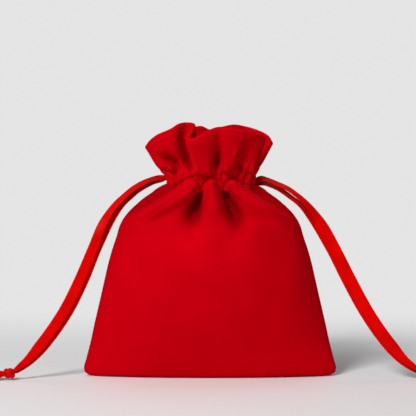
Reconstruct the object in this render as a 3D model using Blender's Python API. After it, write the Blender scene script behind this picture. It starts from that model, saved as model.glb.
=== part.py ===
"""A velvet drawstring pouch that stands on its folded bottom, its neck drawn in by two satin ribbons.

Two panels of velvet are sewn together along the sides and the bottom. Above the sewn sides the top
of each panel is folded to the inside, which makes a ruffle of two layers and, below it, a casing:
a tunnel that holds the ribbons. Each ribbon runs through the front casing and back through the
other one, so both of its ends leave at the same side, fall to the table and meet in a knot.

Metres, +Z up. The front faces -Y, and the origin is on the table under the middle of the pouch.
"""

import math

import bpy
import numpy as np

MM = 0.001

# Driving sizes
BODY_WIDTH = 100.8 * MM      # across the bottom corners
BODY_DEPTH = 40.8 * MM       # front to back at the fullest place
FULL_HEIGHT = 101.0 * MM     # to the highest point of the ruffle

CLOTH = 0.8 * MM             # one layer of velvet, with its pile
LAYER_GAP = 0.3 * MM         # between the two layers of the ruffle
SEAM_GAP = 0.3 * MM          # between the two panels along their seam
SLIT = 4.0 * MM              # between the panels at the casing, where the ribbons leave
HEM = 0.8 * MM               # end of the folded layer, below the casing
NECK_HALF_WIDTH = 16.4 * MM  # to the valleys of the pleats
NECK_HALF_DEPTH = 9.2 * MM
PLEAT_DEPTH = 1.8 * MM
PLEAT_SWAY = 0.7 * MM        # the pleats lean to either side by this much
SHOULDER_TUCK = 0.70         # share of the depth by which the sides are pushed in there
TUCK_EDGE = 1.8 * MM         # width of the step behind a shoulder's edge
CORNER_LIFT = 0.4 * MM       # rise of the bottom seam at its two corners

RIBBON_WIDTH = 4.2 * MM
RIBBON = 0.4 * MM            # thickness
ROPE_HEIGHT = 2.0 * MM       # a ribbon bunched up inside the casing
ROPE = 1.0 * MM
ROPE_EXIT = 0.8 * MM         # from the middle plane to each ribbon end in the slit
CLEARANCE = 0.36 * MM
KNOT_RADIUS = 2.4 * MM

# What follows from them
SCALE = np.array((BODY_WIDTH, BODY_DEPTH, FULL_HEIGHT)) / (100.8, 40.8, 101.0)
CASING_BOTTOM = 0.746 * FULL_HEIGHT
CASING_TOP = CASING_BOTTOM + 2 * ROPE_HEIGHT + 3 * CLEARANCE
FOLD_RADIUS = CLOTH + LAYER_GAP / 2
TUNNEL = 2 * CLOTH + 2 * CLEARANCE + ROPE
ROPE_INSET = CLOTH + CLEARANCE + ROPE / 2
LEVEL = (ROPE_HEIGHT + CLEARANCE) / 2
EXIT_HEIGHT = (CASING_BOTTOM + CASING_TOP) / 2
EXIT_REACH = NECK_HALF_WIDTH - 0.3 * MM

# The tables below are drawn in millimetres for the sizes above and stretched by SCALE.
# Depth and height of the middle of a panel, from the bottom seam up to the casing
PROFILE = (
    (0.15, 0.0), (3.0, 0.0), (6.0, 0.0), (8.3, 0.8), (10.0, 3.4), (13.0, 10.0), (17.0, 21.0),
    (19.8, 33.0), (20.4, 44.0), (19.2, 53.0), (17.0, 60.0), (14.8, 65.0), (12.6, 69.2),
    (10.7, 72.4),
)
# Height and half width of the outline seen from the front
OUTLINE = (
    (0.0, 48.4), (0.8, 49.9), (2.0, 50.4), (6.8, 49.5), (13.0, 47.9), (20.0, 46.4), (26.0, 45.0),
    (32.0, 43.6), (39.0, 42.0), (45.0, 40.6), (50.0, 39.2), (56.0, 37.2), (60.0, 36.0),
    (63.0, 34.4), (66.0, 32.0), (69.0, 28.8), (71.0, 26.4), (73.0, 23.4), (74.2, 21.0),
)
# The rim: share of the cloth's width, then x, distance from the middle plane and height
FRONT_RIM = (
    (0.00, -25.6, 1.6, 90.6), (0.08, -22.8, 6.0, 93.4), (0.17, -16.8, 9.4, 96.6),
    (0.25, -11.6, 8.4, 99.2), (0.31, -8.6, 5.6, 100.1), (0.345, -6.9, 7.0, 99.4),
    (0.385, -8.0, 11.2, 96.2), (0.42, -9.6, 15.0, 94.2), (0.455, -7.2, 17.2, 93.6),
    (0.49, -3.4, 17.0, 95.2), (0.53, 0.6, 15.8, 96.9), (0.57, 3.6, 12.8, 97.6),
    (0.61, 6.6, 14.6, 97.7), (0.67, 10.6, 14.8, 97.3), (0.74, 15.2, 13.2, 96.5),
    (0.84, 20.2, 9.2, 95.2),
    (0.93, 22.4, 5.4, 94.4), (1.00, 22.4, 3.0, 93.0),
)
BACK_RIM = (
    (0.00, -25.2, 1.6, 90.4), (0.09, -21.4, 6.2, 93.4), (0.18, -15.8, 9.6, 96.2),
    (0.26, -11.0, 7.6, 97.4), (0.35, -6.2, 10.8, 98.2), (0.43, -1.6, 12.8, 97.8),
    (0.51, 3.2, 10.8, 98.6), (0.60, 8.4, 10.6, 99.1), (0.70, 14.0, 12.8, 98.4),
    (0.79, 18.8, 11.0, 97.0), (0.90, 23.4, 6.0, 94.8), (1.00, 25.0, 1.6, 92.2),
)
# Valleys of the casing's pleats, as shares of the cloth's width
FRONT_PLEATS = (0.0, 0.11, 0.221, 0.279, 0.368, 0.475, 0.553, 0.597, 0.68, 0.724, 0.80, 0.90, 1.0)
BACK_PLEATS = (0.0, 0.12, 0.20, 0.29, 0.36, 0.44, 0.51, 0.60, 0.67, 0.745, 0.82, 0.90, 1.0)

# Folds as soft strokes on the panel: x, height, half width and rise of each point
FRONT_FOLDS = {
    "left ridge": ((-6.6, 77.4, 2.2, 3.4), (-9.8, 74.2, 3.0, 3.8), (-16.4, 70.6, 3.2, 3.2),
                   (-24.6, 65.8, 3.4, 2.2), (-31.8, 62.2, 4.2, 0.4)),
    "middle ridge": ((0.7, 77.2, 1.9, 3.4), (0.8, 74.0, 2.4, 4.0), (1.0, 69.0, 3.5, 3.0),
                     (1.4, 61.0, 6.0, 0.0)),
    "right ridge": ((8.9, 77.2, 2.2, 3.4), (11.8, 74.6, 2.9, 3.6), (17.0, 71.4, 3.2, 3.2),
                    (25.2, 65.8, 3.4, 2.2), (32.6, 61.8, 4.2, 0.4)),
    "left valley": ((-3.4, 75.0, 1.6, -2.2), (-3.9, 72.8, 2.1, -5.4), (-4.7, 68.6, 2.7, -5.6),
                    (-6.8, 64.2, 3.8, -3.2), (-10.8, 57.2, 5.0, 0.0)),
    "left flank": ((-7.4, 71.4, 2.8, -0.6), (-8.6, 67.4, 4.0, -1.6), (-10.4, 62.0, 4.6, 0.0)),
    "right valley": ((5.3, 74.8, 1.6, -2.2), (6.3, 72.4, 2.1, -5.4), (8.2, 68.4, 2.7, -5.4),
                     (10.8, 63.6, 3.7, -3.0), (14.2, 57.6, 5.0, 0.0)),
    "left crest": ((-8.6, 77.2, 1.2, 0.3), (-15.6, 72.6, 1.3, 0.8), (-24.0, 67.2, 1.4, 0.9),
                   (-31.0, 63.4, 1.8, 0.2)),
    "right crest": ((10.4, 77.2, 1.2, 0.3), (16.2, 73.4, 1.3, 0.8), (24.4, 67.4, 1.4, 0.9),
                    (31.4, 63.2, 1.8, 0.2)),
    "left tip": ((-3.0, 78.4, 1.2, 0.6), (-3.2, 75.4, 1.0, 1.4), (-3.4, 72.6, 0.8, 0.8)),
    "right tip": ((4.7, 78.0, 1.2, 0.6), (4.9, 75.0, 1.0, 1.4), (5.0, 71.8, 0.8, 0.8)),
    "left swell": ((-7.4, 54.0, 5.0, 0.7), (-5.0, 55.4, 5.0, 0.4)),
    "right swell": ((12.7, 52.6, 5.0, 0.5), (15.6, 54.4, 4.6, 0.3)),
    "left lobe": ((-17.6, 90.6, 4.6, 1.2), (-14.0, 91.4, 5.0, 1.2)),
    "left belly": ((-18.2, 84.8, 1.7, 0.8), (-14.2, 83.8, 1.8, 1.4), (-12.0, 83.2, 1.4, 0.6)),
    "left crease": ((-20.0, 88.4, 2.2, -0.4), (-16.8, 87.4, 2.3, -1.5), (-13.4, 85.6, 2.1, -1.6),
                    (-11.0, 82.8, 1.7, -0.6)),
    "lobe valley": ((-11.0, 96.4, 2.6, -0.6), (-9.9, 91.0, 2.5, -1.5), (-8.5, 86.0, 2.3, -2.1),
                    (-7.5, 82.8, 1.8, -0.9)),
    "lobe edge": ((-8.9, 93.6, 1.6, 0.3), (-7.2, 89.0, 1.6, 0.9), (-5.4, 84.0, 1.5, 1.2),
                  (-4.4, 80.8, 1.3, 0.6)),
    "centre lobe": ((-4.6, 90.0, 3.4, 1.2), (-3.2, 84.4, 2.7, 2.2), (-2.9, 81.8, 2.1, 1.6)),
    "centre valley": ((3.7, 95.6, 2.7, -0.6), (3.2, 90.6, 2.6, -1.9), (2.9, 86.0, 2.3, -2.8),
                      (2.7, 83.2, 1.8, -1.2)),
    "right lobe": ((9.2, 92.0, 3.6, 0.6), (8.4, 87.0, 2.9, 1.4), (6.5, 83.2, 2.1, 1.8)),
    "right crease": ((10.9, 86.4, 1.5, -0.6), (11.7, 83.6, 1.4, -1.6), (13.0, 80.4, 1.2, -0.6)),
    "right hollow": ((15.4, 91.4, 3.4, -1.2), (13.6, 87.0, 2.5, -1.4)),
    "right belly": ((18.0, 84.4, 1.8, 0.6), (15.2, 83.0, 1.7, 1.0)),
    "soft ridge": ((33.6, 60.0, 4.0, 0.0), (33.6, 42.0, 5.0, 0.9), (34.0, 18.0, 6.0, 0.0)),
}
FRONT_SHOULDERS = (
    ((-8.4, 78.6), (-12.0, 76.0), (-15.8, 73.4), (-23.6, 68.0), (-29.6, 64.6), (-36.0, 61.6)),
    ((10.2, 78.4), (12.6, 76.4), (16.0, 74.0), (21.6, 70.0), (28.0, 66.0), (36.0, 61.4)),
)
BACK_SHOULDERS = (
    ((-10.4, 78.6), (-17.6, 73.4), (-26.0, 68.0), (-36.0, 62.4)),
    ((9.6, 78.4), (17.4, 73.6), (26.4, 67.6), (36.0, 62.0)),
)
BACK_FOLDS = {
    "left ridge": ((-8.0, 77.2, 2.2, 3.0), (-11.0, 74.2, 3.0, 3.4), (-18.0, 70.0, 3.4, 2.6),
                   (-28.0, 64.6, 4.0, 0.8)),
    "middle ridge": ((-1.4, 77.2, 2.0, 3.0), (-1.6, 73.6, 2.6, 3.6), (-2.0, 68.4, 4.0, 2.4),
                     (-2.6, 61.0, 6.0, 0.0)),
    "right ridge": ((6.4, 77.2, 2.2, 3.0), (8.8, 74.4, 3.0, 3.4), (15.4, 71.0, 3.4, 2.6),
                    (26.8, 65.4, 4.0, 0.8)),
    "left valley": ((-5.0, 75.4, 1.6, -1.0), (-6.2, 71.6, 2.3, -3.8), (-8.0, 67.0, 3.2, -3.4),
                    (-11.0, 59.0, 4.6, 0.0)),
    "right valley": ((2.6, 75.4, 1.6, -1.0), (3.4, 71.6, 2.3, -4.0), (4.4, 67.0, 3.2, -3.4),
                     (7.0, 58.0, 4.6, 0.0)),
    "left hollow": ((-11.6, 94.0, 3.0, -0.8), (-10.0, 87.0, 3.0, -1.6), (-9.4, 83.4, 2.3, -0.6)),
    "left lobe": ((-4.8, 90.0, 3.4, 0.6), (-3.0, 84.4, 2.6, 1.6), (-2.4, 81.8, 2.0, 1.2)),
    "right hollow": ((5.4, 94.0, 3.2, -0.6), (5.0, 87.0, 3.0, -1.6), (4.6, 83.4, 2.3, -0.6)),
    "right lobe": ((12.4, 91.0, 3.6, 0.6), (10.6, 85.0, 2.8, 1.2), (9.6, 82.0, 2.0, 1.0)),
}

# Rows of the cloth, as stages: 0 to 1 up the body, 1 to 2 the casing, 2 to 3 up the ruffle
BODY_ROWS = (0.0, 0.025, 0.07, 0.11, 0.17, 0.27, 0.39, 0.52, 0.62, 0.70)
GATHER_ROWS = (0.77, 0.815, 0.855, 0.895, 0.935, 0.975)
CASING_ROWS = (1.1, 1.4, 1.68, 1.94)
RUFFLE_ROWS = (2.12, 2.26, 2.42, 2.62, 2.84, 3.0)
FACING_ROWS = (2.84, 2.62, 2.42, 2.26, 2.12, 1.8, 1.0)
FACING_PLEATS = 0.7          # height of the facing's pleats to those outside

# The free ribbon ends below the slit: distance from the middle, depth and height
LEFT_FRONT_STRAND = (
    (19.2, -0.9, 79.1), (21.6, -1.0, 78.9), (24.4, -1.1, 78.1), (27.4, -1.3, 76.8),
    (30.4, -1.6, 75.0), (33.8, -2.1, 72.2), (37.2, -2.7, 69.0), (41.6, -3.7, 62.8),
    (46.3, -5.0, 51.6), (51.7, -6.6, 38.8), (58.2, -8.4, 26.0), (62.4, -9.4, 19.6),
    (67.2, -10.6, 13.2), (72.4, -11.7, 7.4),
)
LEFT_BACK_STRAND = (
    (19.2, 0.9, 78.5), (21.6, 1.0, 77.7), (24.2, 1.0, 76.5), (26.8, 0.9, 75.1),
    (29.4, 0.7, 73.4), (31.6, 0.4, 71.5), (34.6, 0.0, 68.7), (39.4, -1.1, 62.2),
    (44.8, -3.0, 51.6), (50.1, -4.8, 38.8), (56.5, -6.8, 26.0), (60.7, -7.8, 19.6),
    (65.6, -9.0, 13.2), (71.2, -10.3, 6.8),
)
RIGHT_FRONT_STRAND = (
    (19.4, -0.9, 77.2), (21.6, -1.0, 78.2), (24.2, -1.1, 78.2), (27.0, -1.3, 77.0),
    (30.4, -1.6, 75.1), (34.8, -2.1, 72.0), (38.2, -2.7, 69.0), (43.4, -3.7, 62.6),
    (49.4, -5.0, 51.6), (55.9, -6.6, 38.8), (62.9, -8.4, 26.0), (67.1, -9.4, 19.6),
    (71.9, -10.6, 13.2), (77.3, -11.7, 7.4),
)
RIGHT_BACK_STRAND = (
    (19.2, 0.9, 77.0), (21.4, 1.0, 77.1), (24.0, 1.0, 76.3), (26.8, 0.9, 74.9),
    (29.6, 0.7, 73.2), (32.2, 0.4, 71.3), (36.0, 0.0, 68.3), (41.2, -1.1, 62.0),
    (47.8, -3.0, 51.6), (54.3, -4.8, 38.8), (61.3, -6.8, 26.0), (65.5, -7.8, 19.6),
    (70.4, -9.0, 13.2), (76.1, -10.3, 6.8),
)
LEFT_KNOT = (79.0, -12.2)     # distance from the middle and depth
RIGHT_KNOT = (84.3, -12.2)
# Tails beyond the knot: distance from its middle, depth from it, height
FRONT_TAIL = ((4.4, -2.4, 0.9), (6.0, -3.1, 0.32), (10.0, -4.8, 0.3), (15.6, -6.8, 0.3))
BACK_TAIL = ((4.6, 2.1, 0.9), (6.4, 2.7, 0.32), (10.6, 3.6, 0.3), (16.6, 5.2, 0.3))
# Directions from a knot's middle to where the strands enter it and the tails leave it
STRAND_ENTRIES = {"front": (-0.80, -0.28, 0.53), "back": (-0.93, 0.30, 0.20)}
TAIL_EXITS = {"front": (0.86, -0.45, -0.25), "back": (0.88, 0.42, -0.22)}

VELVET_RED = (0.47, 0.0, 0.006, 1.0)
SATIN_RED = (0.62, 0.0, 0.003, 1.0)


def smooth_step(low, high, value):
    share = np.clip((value - low) / (high - low), 0.0, 1.0)
    return share * share * (3.0 - 2.0 * share)


def curve_through(knots, at):
    """Smooth curve through knots (position, values...), read at the positions in at."""
    knots = np.asarray(knots, float)
    where, values = knots[:, 0], knots[:, 1:]
    slopes = np.gradient(values, where, axis=0)
    at = np.clip(at, where[0], where[-1])
    index = np.clip(np.searchsorted(where, at, side="right") - 1, 0, len(where) - 2)
    span = where[index + 1] - where[index]
    share = ((at - where[index]) / span)[..., None]
    span = span[..., None]
    square, cube = share**2, share**3
    return (
        (2 * cube - 3 * square + 1) * values[index]
        + (cube - 2 * square + share) * span * slopes[index]
        + (3 * square - 2 * cube) * values[index + 1]
        + (cube - square) * span * slopes[index + 1]
    )


def stroke(points, across, height, thickness):
    """Rise of one soft fold at each place of the panel. Behind the velvet, where thickness is the
    depth of cloth that has to bend, a ridge stays as blunt as that cloth allows."""
    nearest = np.full(across.shape, np.inf)
    rise = np.zeros(across.shape)
    for start, end in zip(points[:-1], points[1:]):
        start = np.asarray(start) * (SCALE[0], SCALE[2], MM, MM)
        end = np.asarray(end) * (SCALE[0], SCALE[2], MM, MM)
        run = end[:2] - start[:2]
        share = ((across - start[0]) * run[0] + (height - start[1]) * run[1]) / (run @ run)
        share = np.clip(share, 0.0, 1.0)
        gap = np.hypot(across - start[0] - share * run[0], height - start[1] - share * run[1])
        width = start[2] + share * (end[2] - start[2])
        level = start[3] + share * (end[3] - start[3])
        level = np.minimum(level, 0.23 * width**2 / np.maximum(thickness, 1e-6))
        closer = gap / width < nearest
        nearest = np.where(closer, gap / width, nearest)
        soft = np.where(level > 0, (gap / width) ** 3, (gap / width) ** 2)
        rise = np.where(closer, level * np.exp(-soft), rise)
    return rise


def beyond(line, across, height):
    """Distance on the upper side of a line drawn on the panel from the neck to the side."""
    nearest = np.full(across.shape, np.inf)
    distance = np.zeros(across.shape)
    for start, end in zip(line[:-1], line[1:]):
        start, end = np.asarray(start) * SCALE[[0, 2]], np.asarray(end) * SCALE[[0, 2]]
        run = end - start
        east, north = across - start[0], height - start[1]
        share = np.clip((east * run[0] + north * run[1]) / (run @ run), 0.0, 1.0)
        gap = np.hypot(east - share * run[0], north - share * run[1])
        upper = np.sign((run[0] * north - run[1] * east) * run[0])
        distance = np.where(gap < nearest, gap * upper, distance)
        nearest = np.minimum(nearest, gap)
    return distance


class Panel:
    """One velvet panel. front is 1 for the panel that faces -Y and -1 for the other one."""

    def __init__(self, name, front, rim, pleats, folds, shoulders):
        self.name = name
        self.front = front
        self.rim = rim
        self.pleats = np.asarray(pleats)
        self.folds = folds
        self.shoulders = shoulders
        self.ruffle_depth = 0.7
        self.lines = {}

    def meridians(self, cloth):
        """Fine lines up the sewn part, one for each share of the cloth's width, and how far up
        each line its points are."""
        neck = (NECK_HALF_DEPTH, CASING_BOTTOM)
        profile = np.vstack((np.asarray(PROFILE) * SCALE[1:], neck))
        run = np.concatenate(([0.0], np.cumsum(np.hypot(*np.diff(profile, axis=0).T))))
        knots = np.column_stack((run / run[-1], profile))
        fine = curve_through(knots, np.linspace(0, 1, 241))
        depth, height = fine[:, :1], fine[:, 1:].clip(0.0)
        level = height / SCALE[2] * MM
        even = 2 * cloth - 1
        bow = np.sin(even * math.pi / 2)
        near_neck = smooth_step(50 * MM, 75 * MM, level)
        across = (0.45 + 0.55 * near_neck) * bow + 0.55 * (1 - near_neck) * even
        sharpness = 0.62 - 0.12 * smooth_step(45 * MM, 75 * MM, level)
        sharpness -= 0.10 * (1 - smooth_step(2 * MM, 14 * MM, level))
        lens = (1 - across**2).clip(0.0) ** sharpness
        edge = self.edge(height)
        outline = np.vstack((np.asarray(OUTLINE) * SCALE[[2, 0]], (CASING_BOTTOM, NECK_HALF_WIDTH)))
        x = curve_through(outline, height[:, 0]) * across
        y = edge + (depth - edge).clip(0.0) * lens
        z = height + CORNER_LIFT * across**8 * (1 - smooth_step(0.0, 16 * MM, level))
        line = np.stack((x, y, z), axis=-1)
        steps = np.linalg.norm(np.diff(line, axis=0), axis=-1)
        travel = np.concatenate((np.zeros((1, len(cloth))), np.cumsum(steps, axis=0)))
        return line, travel / travel[-1]

    def body(self, cloth, stage):
        """Place on the sewn part, without folds: across, depth, height."""
        key = cloth.tobytes()
        if key not in self.lines:
            self.lines[key] = self.meridians(cloth)
        line, travel = self.lines[key]
        share = stage.clip(0.0, 1.0)
        index = (travel < share).sum(axis=0).clip(1, len(travel) - 1)
        column = np.arange(len(cloth))
        start, end = travel[index - 1, column], travel[index, column]
        part = ((share - start) / (end - start).clip(1e-12))[:, None]
        return line[index - 1, column] * (1 - part) + line[index, column] * part

    @staticmethod
    def edge(height):
        """Half the space between the panels' side edges."""
        opened = smooth_step(CASING_BOTTOM - 2.6 * MM, CASING_BOTTOM + 0.6 * MM, height)
        return SEAM_GAP / 2 + opened * (SLIT - SEAM_GAP) / 2

    def casing(self, cloth, stage, inset=0.0):
        turn = (2 * cloth - 1) * math.pi / 2
        height = CASING_BOTTOM + (stage - 1) * (CASING_TOP - CASING_BOTTOM)
        edge = self.edge(height) if np.ndim(inset) == 0 else SLIT / 2
        x = (NECK_HALF_WIDTH - inset) * np.sin(turn)
        y = edge + (NECK_HALF_DEPTH - edge - inset) * np.cos(turn)
        return np.stack((x, y, height), axis=-1)

    def ruffle(self, cloth, stage):
        share = (stage - 2)[..., None]
        neck = self.casing(cloth, np.full(stage.shape, 2.0))
        rim = curve_through(np.asarray(self.rim) * (1.0, *SCALE), cloth)
        spread = np.concatenate((share**0.78, share**0.8, share), axis=-1)
        return neck + (rim - neck) * spread

    def base(self, cloth, stage):
        low, high = stage < 1, stage > 2
        place = self.casing(cloth, stage)
        if low.any():
            place[low] = self.body(cloth[low], stage[low])
        if high.any():
            place[high] = self.ruffle(cloth[high], stage[high])
        return place

    def pleat(self, cloth):
        """Height of the casing's pleats: sharp valleys and round backs."""
        index = np.clip(np.searchsorted(self.pleats, cloth, side="right") - 1, 0,
                        len(self.pleats) - 2)
        width = self.pleats[index + 1] - self.pleats[index]
        share = (cloth - self.pleats[index]) / width
        tall = np.minimum(PLEAT_DEPTH, width * 20 * MM)
        return tall * (0.5 - 0.5 * np.cos(2 * math.pi * share)) ** 0.85

    def gathered(self, stage):
        return smooth_step(0.88, 1.08, stage) * (1 - smooth_step(2.0, 2.45, stage))

    def lift(self, across, stage, height, cloth, velvet):
        """Rise of all folds together. Valleys leave the casing clear, where the ribbons run."""
        thickness = CLOTH + (2 * FOLD_RADIUS - CLOTH) * smooth_step(2.0, 2.3, stage)
        behind = thickness * (1 - velvet)
        rise = sum(stroke(points, across, height, behind) for points in self.folds.values())
        clear = 1 - smooth_step(0.965, 0.992, stage) + smooth_step(2.0, 2.15, stage)
        rise = np.where(rise < 0, rise * clear, rise)
        rise *= 1 - (1 - self.ruffle_depth) * smooth_step(2.0, 2.3, stage)
        return rise * smooth_step(0.0, 0.11, cloth) * smooth_step(0.0, 0.11, 1 - cloth)

    def surface(self, cloth, stage, velvet):
        """Place on the outer layer: velvet is 1 for its pile side and 0 behind the pleats."""
        place = self.base(cloth, stage)
        nudge = 1e-4
        side = self.base(np.clip(cloth + nudge, 0, 1), stage)
        side -= self.base(np.clip(cloth - nudge, 0, 1), stage)
        along = side[..., :2] / np.linalg.norm(side[..., :2], axis=-1, keepdims=True).clip(1e-12)
        outward = np.stack((-along[..., 1], along[..., 0]), axis=-1)
        rise = self.lift(place[..., 0], stage, place[..., 2], cloth, velvet)
        covered = (rise / (2.5 * MM)).clip(0.0, 1.0) * (1 - smooth_step(1.9, 2.2, stage))
        pleats = self.pleat(cloth) * self.gathered(stage) * (1 - 0.8 * covered) * velvet
        place[..., :2] += outward * pleats[..., None]
        lean = np.sin(3 * math.pi * cloth) * np.sin((stage.clip(0.9, 2.3) - 0.9) / 1.4 * 2 * math.pi)
        lean *= smooth_step(0.9, 1.1, stage)
        place[..., :2] -= along * (PLEAT_SWAY * lean)[..., None]
        room = 0.5 * (place[..., 1] - SEAM_GAP / 2).clip(1e-6)
        place[..., 1] += np.where(rise < 0, room * np.tanh(rise / room), rise)
        place[..., 1] -= self.tuck(place, stage) * (place[..., 1] - 2.2 * CLOTH).clip(0.0)
        return place

    def tuck(self, place, stage):
        """How far the sides are pushed in behind the edges of the shoulders."""
        across, height = place[..., 0], place[..., 2]
        pushed = sum(smooth_step(-0.1 * TUCK_EDGE, TUCK_EDGE, beyond(line, across, height))
                     * (line[-1][0] * across > 0) for line in self.shoulders)
        low = smooth_step(61.5 * MM, 67.0 * MM, height / SCALE[2] * MM)
        return SHOULDER_TUCK * pushed * low * (1 - smooth_step(0.94, 0.985, stage))

    def frame(self, cloth, stage):
        """Outward and upward directions behind the pleats."""
        step = 2e-3
        across = self.surface(np.clip(cloth + step, 0, 1), stage, 0.0)
        across -= self.surface(np.clip(cloth - step, 0, 1), stage, 0.0)
        along = self.surface(cloth, np.clip(stage + step, 0, 3), 0.0)
        along -= self.surface(cloth, np.clip(stage - step, 0, 3), 0.0)
        out = np.cross(along, across)
        out /= np.linalg.norm(out, axis=-1, keepdims=True).clip(1e-15)
        return out, along / np.linalg.norm(along, axis=-1, keepdims=True).clip(1e-15)

    def outer(self, cloth, stage):
        """Places on the velvet side and the lining side of the outer layer."""
        out, _ = self.frame(cloth, stage)
        return self.surface(cloth, stage, 1.0), self.surface(cloth, stage, 0.0) - out * CLOTH

    def facing(self, cloth, stage):
        """Places on both sides of the folded layer, which lies against the outer one in the
        ruffle and stands off from it in the casing."""
        out, _ = self.frame(cloth, stage.clip(2.0))
        behind = self.surface(cloth, stage.clip(2.0), 0.0)
        inward = self.pleat(cloth) * self.gathered(stage.clip(1.05)) * FACING_PLEATS
        share = smooth_step(2.0, 2.24, stage)[..., None]
        sides = []
        for depth in (CLOTH + inward, 0.0 * inward):
            close = behind - out * (2 * FOLD_RADIUS - CLOTH + depth)[..., None]
            apart = self.casing(cloth, stage, TUNNEL - CLOTH + depth)
            sides.append(apart + (close - apart) * share)
        return sides

    def fold(self, cloth, angle):
        """Places on both sides of the round fold along the rim, from outside to inside."""
        stage = np.full(cloth.shape, 3.0)
        out, along = self.frame(cloth, stage)
        middle = self.surface(cloth, stage, 0.0) - out * FOLD_RADIUS
        spoke = out * math.cos(angle) + along * math.sin(angle)
        return middle + FOLD_RADIUS * spoke, middle + (FOLD_RADIUS - CLOTH) * spoke


def pleat_columns(pleats):
    """Four columns to each pleat, so its valley and its back both have an edge."""
    columns = [pleats[0]]
    for start, end in zip(pleats[:-1], pleats[1:]):
        columns += [start + (end - start) * quarter / 4 for quarter in (1, 2, 3, 4)]
    return np.asarray(columns)


def cloth_rows(panel):
    """Rows from the bottom seam, over the rim and down to the end of the facing."""
    full = pleat_columns(panel.pleats)
    half = full[::2]
    rows = [panel.outer(half, np.full(half.shape, stage)) for stage in BODY_ROWS]
    for stage in GATHER_ROWS + CASING_ROWS + RUFFLE_ROWS:
        rows.append(panel.outer(full, np.full(full.shape, stage)))
    rows += [panel.fold(full, math.radians(angle)) for angle in (60, 120, 180)]
    for stage in FACING_ROWS + (1 - HEM / (CASING_TOP - CASING_BOTTOM),):
        rows.append(panel.facing(full, np.full(full.shape, stage)))
    return [row[0] for row in rows], [row[1] for row in rows]


def seam_lining(velvet, lining):
    """Along the seam the lining side steps straight in from the seam line."""
    sewn = len(BODY_ROWS) + len(GATHER_ROWS)
    ends = [(row, 0) for row in range(sewn, 0, -1)]
    ends += [(0, column) for column in range(len(velvet[0]))]
    ends += [(row, -1) for row in range(1, sewn + 1)]
    line = np.asarray([velvet[row][column] for row, column in ends])
    along = np.gradient(line, axis=0)
    inward = np.stack((-along[:, 2], 0.0 * along[:, 1], along[:, 0]), axis=1)
    inward /= np.linalg.norm(inward, axis=1, keepdims=True)
    for (row, column), place, step in zip(ends, line, inward):
        lining[row][column] = place + step * CLOTH


def bridge(low, high, flip):
    """Faces between two rows of vertex numbers; the upper row may have twice the columns."""
    faces = []
    if len(low) == len(high):
        for i in range(len(low) - 1):
            faces.append((low[i], low[i + 1], high[i + 1], high[i]))
    else:
        for i in range(len(low) - 1):
            faces.append((low[i], low[i + 1], high[2 * i + 1]))
            faces.append((low[i], high[2 * i + 1], high[2 * i]))
            faces.append((low[i + 1], high[2 * i + 2], high[2 * i + 1]))
    return [face[::-1] for face in faces] if flip else faces


def material(name, colour, roughness):
    surface = bpy.data.materials.new(name)
    surface.use_nodes = True
    shader = surface.node_tree.nodes["Principled BSDF"]
    shader.inputs["Base Color"].default_value = colour
    shader.inputs["Roughness"].default_value = roughness
    shader.inputs["Metallic"].default_value = 0.0
    return surface


def add_object(name, data, colour, roughness):
    data.materials.append(material(name + "_material", colour, roughness))
    item = bpy.data.objects.new(name, data)
    bpy.context.scene.collection.objects.link(item)
    return item


def add_panel(panel):
    """The velvet side and the lining side of the cloth, closed along its cut edges."""
    velvet, lining = cloth_rows(panel)
    seam_lining(velvet, lining)
    numbers, count = [], 0
    for row in velvet:
        numbers.append(list(range(count, count + len(row))))
        count += len(row)
    places = np.concatenate(velvet + lining)
    places[:, 1] = -panel.front * places[:, 1].clip(SEAM_GAP / 2)
    faces = []
    for low, high in zip(numbers[:-1], numbers[1:]):
        faces += bridge(low, high, panel.front < 0)
    backs = [tuple(i + count for i in face[::-1]) for face in faces]
    around = numbers[0] + [row[-1] for row in numbers[1:]]
    around += numbers[-1][-2::-1] + [row[0] for row in numbers[-2:0:-1]]
    edges = [(i, j, j + count, i + count) for i, j in zip(around, around[1:] + around[:1])]
    if panel.front > 0:
        edges = [face[::-1] for face in edges]
    mesh = bpy.data.meshes.new(panel.name)
    mesh.from_pydata(places.tolist(), [], faces + backs + edges)
    mesh.shade_smooth()
    return add_object(panel.name, mesh, VELVET_RED, 0.9)


def ribbon(name, route, tilts, scales, thickness, height):
    """A flat band: at tilt 0 its width stands upright."""
    curve = bpy.data.curves.new(name, "CURVE")
    curve.dimensions = "3D"
    curve.twist_mode = "Z_UP"
    curve.bevel_depth = thickness / 2
    curve.extrude = (height - thickness) / 2
    curve.bevel_resolution = 0
    curve.use_fill_caps = True
    spline = curve.splines.new("POLY")
    spline.points.add(len(route) - 1)
    for point, place, tilt, scale in zip(spline.points, route, tilts, scales):
        point.co = (*place, 1.0)
        point.tilt = tilt
        point.radius = scale
    return add_object(name, curve, SATIN_RED, 0.35)


def smooth_route(points, count):
    """Points on a smooth curve through the given ones."""
    points = np.asarray(points, float)
    run = np.concatenate(([0.0], np.cumsum(np.linalg.norm(np.diff(points, axis=0), axis=1))))
    knots = np.column_stack((run, points))
    return curve_through(knots, np.linspace(0.0, run[-1], count))


def rope_route(side, height):
    """Once round the neck inside the casing, in and out at the slit on one side."""
    wide = NECK_HALF_WIDTH - ROPE_INSET
    deep = NECK_HALF_DEPTH - ROPE_INSET - SLIT / 2 - 0.1 * MM
    half = [(EXIT_REACH, ROPE_EXIT), (wide + 0.8 * MM, ROPE_EXIT), (wide + 0.2 * MM, ROPE_EXIT * 1.3)]
    for step in range(1, 18):
        turn = math.radians(90 - 10 * step)
        half.append((wide * math.sin(turn), SLIT / 2 + deep * math.cos(turn)))
    front = [(side * x, -y, height) for x, y in half]
    return front + [(x, -y, z) for x, y, z in front[::-1]]


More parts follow.
